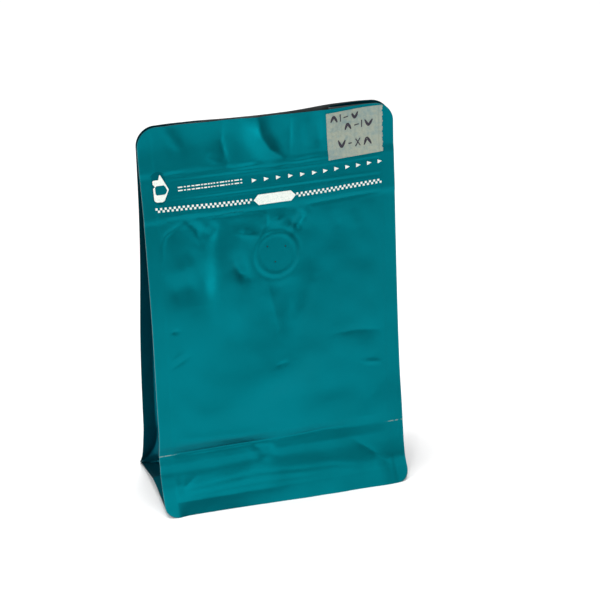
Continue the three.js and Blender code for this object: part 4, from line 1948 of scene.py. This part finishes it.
@dataclass
class PrintedMarks:
    """The row of arrowheads, the chequered tear line and the generic marks on the front film."""

    shape: BagShape
    finishes: Finishes
    lift: float = 0.05

    ARROWS: ClassVar[tuple[Pair, ...]] = (
        (55.4, 169.2), (61.6, 169.2), (67.8, 169.2), (74.1, 169.2), (80.3, 169.2), (86.5, 169.2),
        (92.3, 169.4), (98.2, 169.7), (104, 169.9), (109.7, 170.1), (115.5, 170.5), (121.1, 170.7),
    )
    ARROW_LENGTH: ClassVar[float] = 2.4
    ARROW_HEIGHT: ClassVar[float] = 2.0
    TEAR_LINE: ClassVar[tuple[Pair, ...]] = (
        (6, 160.8), (55, 159.35), (66, 159.3), (78, 159.35), (124, 160.8),
    )
    CHEQUERED: ClassVar[tuple[Pair, ...]] = ((6.2, 55.5), (77.7, 123.7))
    CHEQUER: ClassVar[float] = 1.06
    CHEQUER_PITCH: ClassVar[float] = 2.26
    CHEQUER_ROW: ClassVar[float] = 0.57
    PILL_U: ClassVar[Pair] = (55.6, 77.4)
    PILL_V: ClassVar[Pair] = (156.9, 161.9)
    PILL_POINT: ClassVar[float] = 2.4
    CAPTION_U: ClassVar[Pair] = (18.2, 51.2)
    CAPTION_V: ClassVar[Pair] = (168.5, 170.6)
    CAPTION_STROKE: ClassVar[float] = 0.55

    def build(self) -> bpy.types.Object:
        """Makes the print.

        Returns:
            The print.
        """
        layout = [*self.arrowheads(), *self.chequers(), *self.pill(), *self.caption()]
        patches = [offset(self.shape.front, u, v, self.lift) for u, v in layout]
        mesh = patch_mesh("front_print", patches)
        tidy = bmesh.new()
        tidy.from_mesh(mesh)
        bmesh.ops.remove_doubles(tidy, verts=tidy.verts, dist=1e-7)
        bmesh.ops.dissolve_degenerate(tidy, edges=tidy.edges, dist=1e-7)
        tidy.to_mesh(mesh)
        tidy.free()
        return attach(to_object("front_print", mesh, [self.finishes.ink]), "tab_film")

    @staticmethod
    def quad(corners: Sequence[Pair], across: int, up: int) -> tuple[np.ndarray, np.ndarray]:
        """Lays a grid over a four-sided patch.

        Args:
            corners: Its corners, anticlockwise from the lower left.
            across: Facets across.
            up: Facets up.

        Returns:
            Positions across and up the panel.
        """
        a, b, c, d = (np.array(corner, dtype=float) for corner in corners)
        s, t = np.meshgrid(np.linspace(0, 1, across + 1), np.linspace(0, 1, up + 1))
        s, t = s[..., None], t[..., None]
        grid = lerp(lerp(a, b, s), lerp(d, c, s), t)
        return grid[..., 0], grid[..., 1]

    def box(
        self, left: float, right: float, low: float, high: float, across: int, up: int
    ) -> tuple[np.ndarray, np.ndarray]:
        """Lays a grid over an upright rectangle.

        Args:
            left: Its left side.
            right: Its right side.
            low: Its lower side.
            high: Its upper side.
            across: Facets across.
            up: Facets up.

        Returns:
            Positions across and up the panel.
        """
        return self.quad([(left, low), (right, low), (right, high), (left, high)], across, up)

    def arrowheads(self) -> list[tuple[np.ndarray, np.ndarray]]:
        """Lays out the row of arrowheads that point away from the tab.

        Returns:
            Grids of patches.
        """
        half = self.ARROW_HEIGHT / 2
        patches = []
        for u, v in self.ARROWS:
            tip = (u + self.ARROW_LENGTH, v)
            patches.append(self.quad([(u, v - half), tip, tip, (u, v + half)], 3, 3))
        return patches

    def chequers(self) -> list[tuple[np.ndarray, np.ndarray]]:
        """Lays out the two staggered rows of squares along the tear line.

        Returns:
            Grids of patches.
        """
        height = Curve(self.TEAR_LINE)
        half = self.CHEQUER / 2
        patches = []
        for start, end in self.CHEQUERED:
            for k in range(int((end - start) / (self.CHEQUER_PITCH / 2))):
                row = self.CHEQUER_ROW if k % 2 == 0 else -self.CHEQUER_ROW
                left = start + k * self.CHEQUER_PITCH / 2
                right = left + self.CHEQUER
                v0, v1 = float(height(left)) + row, float(height(right)) + row
                corners = [(left, v0 - half), (right, v1 - half), (right, v1 + half), (left, v0 + half)]
                patches.append(self.quad(corners, 2, 2))
        return patches

    def pill(self) -> list[tuple[np.ndarray, np.ndarray]]:
        """Lays out the long white field with pointed ends.

        Returns:
            Grids of patches.
        """
        (left, right), (low, high) = self.PILL_U, self.PILL_V
        inner_left, inner_right = left + self.PILL_POINT, right - self.PILL_POINT
        left_tip, right_tip = (left, (low + high) / 2), (right, (low + high) / 2)
        return [
            self.quad([left_tip, (inner_left, low), (inner_left, high), left_tip], 3, 6),
            self.box(inner_left, inner_right, low, high, 20, 6),
            self.quad([(inner_right, low), right_tip, right_tip, (inner_right, high)], 3, 6),
        ]

    def caption(self) -> list[tuple[np.ndarray, np.ndarray]]:
        """Lays out the line of plain dashes and dots next to the window.

        Returns:
            Grids of patches.
        """
        draw = np.random.default_rng(5)
        (u, end), (low, high) = self.CAPTION_U, self.CAPTION_V
        stroke = self.CAPTION_STROKE
        patches = []
        width = float(draw.choice([0.9, 1.5, 2.3]))
        while u + width <= end:
            patches.append(self.box(u, u + width, low, low + stroke, 2, 1))
            patches.append(self.box(u, u + width, high - stroke, high, 2, 1))
            u += width + float(draw.choice([0.5, 0.7]))
            width = float(draw.choice([0.9, 1.5, 2.3]))
        return patches


@dataclass
class TearTab:
    """The arrow-shaped tear-off tab that lies in the window."""

    shape: BagShape
    finishes: Finishes
    rise: float = 0.02
    thickness: float = 0.35

    OUTLINE: ClassVar[tuple[Pair, ...]] = (
        (6.0, 165.9), (6.3, 165.0), (7.2, 164.4), (10.1, 164.3), (10.9, 164.7), (11.4, 165.4),
        (13.4, 169.5), (13.6, 169.9), (13.4, 170.5), (10.1, 177.2), (9.75, 177.5), (9.5, 177.2),
        (8.9, 175.1), (6.4, 175.0), (6.0, 174.6), (6.0, 173.2), (7.0, 171.9), (6.0, 171.2),
    )
    LINING_REACH: ClassVar[Pair] = (-0.27, -0.19)
    LINING_MARGIN: ClassVar[float] = 0.7
    BADGE: ClassVar[tuple[Pair, ...]] = (
        (6.9, 168.5), (7.6, 167.8), (11.4, 167.8), (12.3, 168.6), (12.8, 169.7), (12.1, 171.4),
        (11.3, 172.3), (7.6, 172.3), (6.9, 171.6),
    )

    def build(self) -> None:
        """Makes the tab, its badge and the film behind it."""
        plane = Placement.on_front(self.shape, WINDOW_U, WINDOW_V)
        top = self.rise + self.thickness
        tab = self.plate("tear_tab", self.OUTLINE, plane, (self.rise, top), self.finishes.ink)
        on_top = (top - 0.01, top + 0.04)
        badge = self.plate("tear_tab_badge", self.BADGE, plane, on_top, self.finishes.foil)
        # The lining takes the foil painted darker as shade inside the window.
        behind = self.LINING_REACH
        lining = self.plate("window_lining", self.lining(), plane, behind, self.finishes.window_foil)
        attach(tab, "tab_film", "pull_tab")
        attach(badge, "pouch_film")
        attach(lining, "pouch_film")

    def lining(self) -> list[Pair]:
        """Lays out the film that shows through the window around the tab.

        Returns:
            Its outline on the front panel, a little larger than the window.
        """
        facets = 40
        radius = WINDOW_WIDTH / 2 + self.LINING_MARGIN
        straight = (WINDOW_HEIGHT - WINDOW_WIDTH) / 2
        outline = []
        for turn in np.linspace(0, math.tau, facets, endpoint=False):
            middle = WINDOW_V + math.copysign(straight, math.sin(turn))
            outline.append((WINDOW_U + radius * math.cos(turn), middle + radius * math.sin(turn)))
        return outline

    @staticmethod
    def plate(
        name: str, outline: Sequence[Pair], plane: Placement, reach: Pair, material: bpy.types.Material
    ) -> bpy.types.Object:
        """Makes a thin plate with a softened rim.

        Args:
            name: Name of the piece.
            outline: Its outline on the front panel.
            plane: Where it lies.
            reach: Heights of its underside and its top over the plane.
            material: Its finish.

        Returns:
            The plate.
        """
        low, high = reach
        local = [(u - WINDOW_U, v - WINDOW_V) for u, v in outline]
        obj = prism(name, local, low, high, plane)
        obj.data.materials.append(material)
        bevel = obj.modifiers.new("rim", "BEVEL")
        bevel.width = 0.3 * (high - low) * MM
        bevel.segments = 2
        layer = obj.data.uv_layers.new(name="flat")
        for loop in obj.data.loops:
            layer.data[loop.index].uv = PLAIN_UV
        return obj


@dataclass
class TapeLabel:
    """A torn piece of crepe tape with pen strokes that aren't letters."""

    shape: BagShape
    finishes: Finishes
    rise: float = 0.06
    thickness: float = 0.14

    # The tape's cut left edge and torn right edge, each from its foot to its top.
    LEFT: ClassVar[tuple[Pair, ...]] = ((95.5, 174.1), (95.2, 182), (94.9, 190), (94.6, 197.9))
    LEFT_SHARES: ClassVar[tuple[float, ...]] = (0, 0.33, 0.67, 1)
    RIGHT: ClassVar[tuple[Pair, Pair]] = ((124.1, 175.7), (124.4, 198.9))
    RIDGE_U: ClassVar[float] = 121.9
    GROOVE_U: ClassVar[float] = 122.7
    HALF_STROKE: ClassVar[float] = 0.72
    INK_LIFT: ClassVar[float] = 0.09
    STROKES: ClassVar[tuple[tuple[Pair, ...], ...]] = (
        ((97.0, 193.2), (98.6, 196.6), (100.4, 193.0)),
        ((102.0, 196.8), (102.2, 193.0)),
        ((103.8, 194.8), (106.4, 195.2)),
        ((108.0, 196.8), (110.0, 193.4), (111.6, 196.9)),
        ((104.6, 188.4), (106.0, 192.0), (107.8, 188.6)),
        ((109.6, 190.2), (112.0, 190.6)),
        ((113.6, 192.4), (113.4, 188.8)),
        ((115.2, 192.4), (117.0, 188.9), (119.2, 192.4)),
        ((100.8, 183.6), (102.6, 179.4), (104.6, 183.4)),
        ((106.2, 181.4), (108.0, 181.6)),
        ((109.8, 179.6), (112.4, 183.6)),
        ((110.0, 183.4), (112.4, 179.8)),
        ((114.4, 179.8), (116.0, 183.9), (118.2, 180.0)),
    )

    def corner_point(self, a: np.ndarray, b: np.ndarray) -> tuple[np.ndarray, np.ndarray]:
        """Finds a point of the tape.

        Args:
            a: Share of the way to the torn right edge.
            b: Share of the way up.

        Returns:
            Positions across and up the panel.
        """
        left_u, left_v = (np.interp(b, self.LEFT_SHARES, line) for line in zip(*self.LEFT))
        right_u, right_v = (lerp(foot, top, b) for foot, top in zip(*self.RIGHT))
        tear = 0.22 * np.sin(b * 41) + 0.16 * np.sin(b * 97 + 1.2) + 0.1 * np.sin(b * 211)
        return lerp(left_u, right_u + tear, a), lerp(left_v, right_v, a)

    def build(self) -> None:
        """Makes the tape and its strokes."""
        a, b = np.meshgrid(np.linspace(0, 1, 84), np.linspace(0, 1, 72))
        u, v = self.corner_point(a, b)
        wrinkle = 0.05 * self.shape.ripple.lift(u * 2.2, v * 0.8)
        ridge = 0.12 * np.exp(-(((u - self.RIDGE_U) / 0.35) ** 2))
        groove = 0.1 * np.exp(-(((u - self.GROOVE_U) / 0.4) ** 2))
        top = offset(self.shape.front, u, v, self.rise + self.thickness + wrinkle + ridge - groove)
        bottom = offset(self.shape.front, u, v, self.rise + wrinkle * 0.6)
        sheet = SheetMesh("crepe_label", top, bottom, (u, v), lower_slot=0)
        attach(sheet.build([self.finishes.tape]), "crepe_tape", "tape_label")
        self.pen_strokes()

    def pen_strokes(self) -> None:
        """Makes the pen strokes as flat ribbons on the tape."""
        height = self.rise + self.thickness + self.INK_LIFT
        ribbons = []
        for stroke in self.STROKES:
            path = self.rounded(stroke)
            along = np.gradient(path, axis=0)
            along /= np.linalg.norm(along, axis=1, keepdims=True)
            aside = np.stack([-along[:, 1], along[:, 0]], axis=1)
            share = np.linspace(0, 1, len(path))
            width = self.HALF_STROKE + 0.1 * np.sin(share * 9 + len(path))
            width = width * np.sqrt(np.clip(np.minimum(share, 1 - share) * 14, 0.15, 1))
            rows = np.stack([path + aside * (width * k)[:, None] for k in (-1.0, 0.0, 1.0)])
            ribbons.append(offset(self.shape.front, rows[..., 0], rows[..., 1], height))
        mesh = patch_mesh("label_strokes", ribbons)
        attach(to_object("label_strokes", mesh, [self.finishes.marker]), "crepe_tape")

    @staticmethod
    def rounded(stroke: Sequence[Pair]) -> np.ndarray:
        """Rounds the turns of a stroke by cutting its corners.

        Args:
            stroke: Its turning points.

        Returns:
            The smooth path.
        """
        path = np.array(stroke, dtype=float)
        for _ in range(3):
            ahead = path[:-1] * 0.75 + path[1:] * 0.25
            behind = path[:-1] * 0.25 + path[1:] * 0.75
            inner = np.stack([ahead, behind], axis=1).reshape(-1, 2)
            path = np.concatenate([path[:1], inner[1:-1], path[-1:]])
        return path


@dataclass
class CarriedNodes:
    """The zipper and the valve behind the film, kept from the solids."""

    finishes: Finishes
    nodes: dict[str, bpy.types.Object]

    def build(self) -> None:
        """Gives the kept nodes their finishes."""
        finishes = {"zipper_strip": self.finishes.zipper, "valve_body": self.finishes.valve}
        for name, material in finishes.items():
            for slot in self.nodes[name].material_slots:
                slot.material = material
            logger.info("%s: kept from the frame", name)


# ------------------------------------------------------------------ studio


@dataclass
class Studio:
    """Camera, floor and lights."""

    focal_px: float = 1853.0
    distance: float = 936.0
    azimuth: float = -17.91
    elevation: float = 25.44
    target: tuple[float, float, float] = (14.7, 1.0, 97.2)
    sensor: float = 36.0
    picture_px: float = 600.0

    def camera(self) -> None:
        """Places the camera at the photograph's viewpoint."""
        data = bpy.data.cameras.new("camera")
        data.sensor_width = self.sensor
        data.lens = self.focal_px / self.picture_px * self.sensor
        data.clip_end = 20.0
        turn, rise = math.radians(self.azimuth), math.radians(self.elevation)
        level = math.cos(rise)
        back = Vector((math.sin(turn) * level, -math.cos(turn) * level, math.sin(rise)))
        camera = bpy.data.objects.new("camera", data)
        camera.location = (Vector(self.target) + back * self.distance) * MM
        camera.rotation_euler = back.to_track_quat("Z", "Y").to_euler()
        bpy.context.scene.collection.objects.link(camera)
        bpy.context.scene.camera = camera

    def floor(self) -> None:
        """Lays the pale floor."""
        mesh = bpy.data.meshes.new("floor")
        half = 6.0
        corners = [(-half, -half, 0), (half, -half, 0), (half, half, 0), (-half, half, 0)]
        mesh.from_pydata(corners, [], [(0, 1, 2, 3)])
        mesh.materials.append(Backdrop().build())
        floor = bpy.data.objects.new("floor", mesh)
        bpy.context.scene.collection.objects.link(floor)

    def tone(self) -> None:
        """Shows colours as they are lit, without a film curve."""
        bpy.context.scene.view_settings.view_transform = "Standard"

    def lights(self) -> None:
        """Hangs the soft lights round the bag."""
        world = bpy.data.worlds.new("studio")
        world.use_nodes = True
        background = world.node_tree.nodes["Background"]
        background.inputs["Color"].default_value = (1, 1, 1, 1)
        background.inputs["Strength"].default_value = 0.22
        bpy.context.scene.world = world
        self.panel("top", (0.0, 0.1, 1.0), 3.0, 1.8, 76.0)
        self.panel("front", (-0.47, -0.84, 0.2), 2.4, 0.4, 21.0)
        self.panel("side", (-1.0, 0.0, 0.9), 2.0, 1.4, 16.0)
        self.panel("fill", (0.1, -0.78, 0.6), 2.6, 1.9, 17.0)

    def panel(
        self, name: str, heading: Sequence[float], distance: float, size: float, power: float
    ) -> None:
        """Hangs one square light that faces the bag.

        Args:
            name: Name of the light.
            heading: Direction from the bag to the light.
            distance: Distance in metres.
            size: Edge of the square in metres.
            power: Power in watts.
        """
        data = bpy.data.lights.new(name, "AREA")
        data.size = size
        data.energy = power
        light = bpy.data.objects.new(name, data)
        way = Vector(heading).normalized()
        light.location = Vector((0, 0, 0.1)) + way * distance
        light.rotation_euler = way.to_track_quat("Z", "Y").to_euler()
        bpy.context.scene.collection.objects.link(light)


def main() -> None:
    """Builds the scene, piece by piece."""
    logging.basicConfig(level=logging.INFO, format="%(message)s")
    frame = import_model()
    studio = Studio()
    studio.camera()
    studio.floor()
    studio.lights()
    studio.tone()
    shape = BagShape()
    finishes = Finishes.make()
    FrontPanel(shape, finishes).build()
    BackPanel(shape, finishes).build()
    for side in (-1, 1):
        SideGusset(shape, finishes, side).build()
    BaseFilm(shape, finishes).build()
    PrintedMarks(shape, finishes).build()
    TearTab(shape, finishes).build()
    TapeLabel(shape, finishes).build()
    CarriedNodes(finishes, frame["nodes"]).build()


if __name__ == "__main__":
    main()
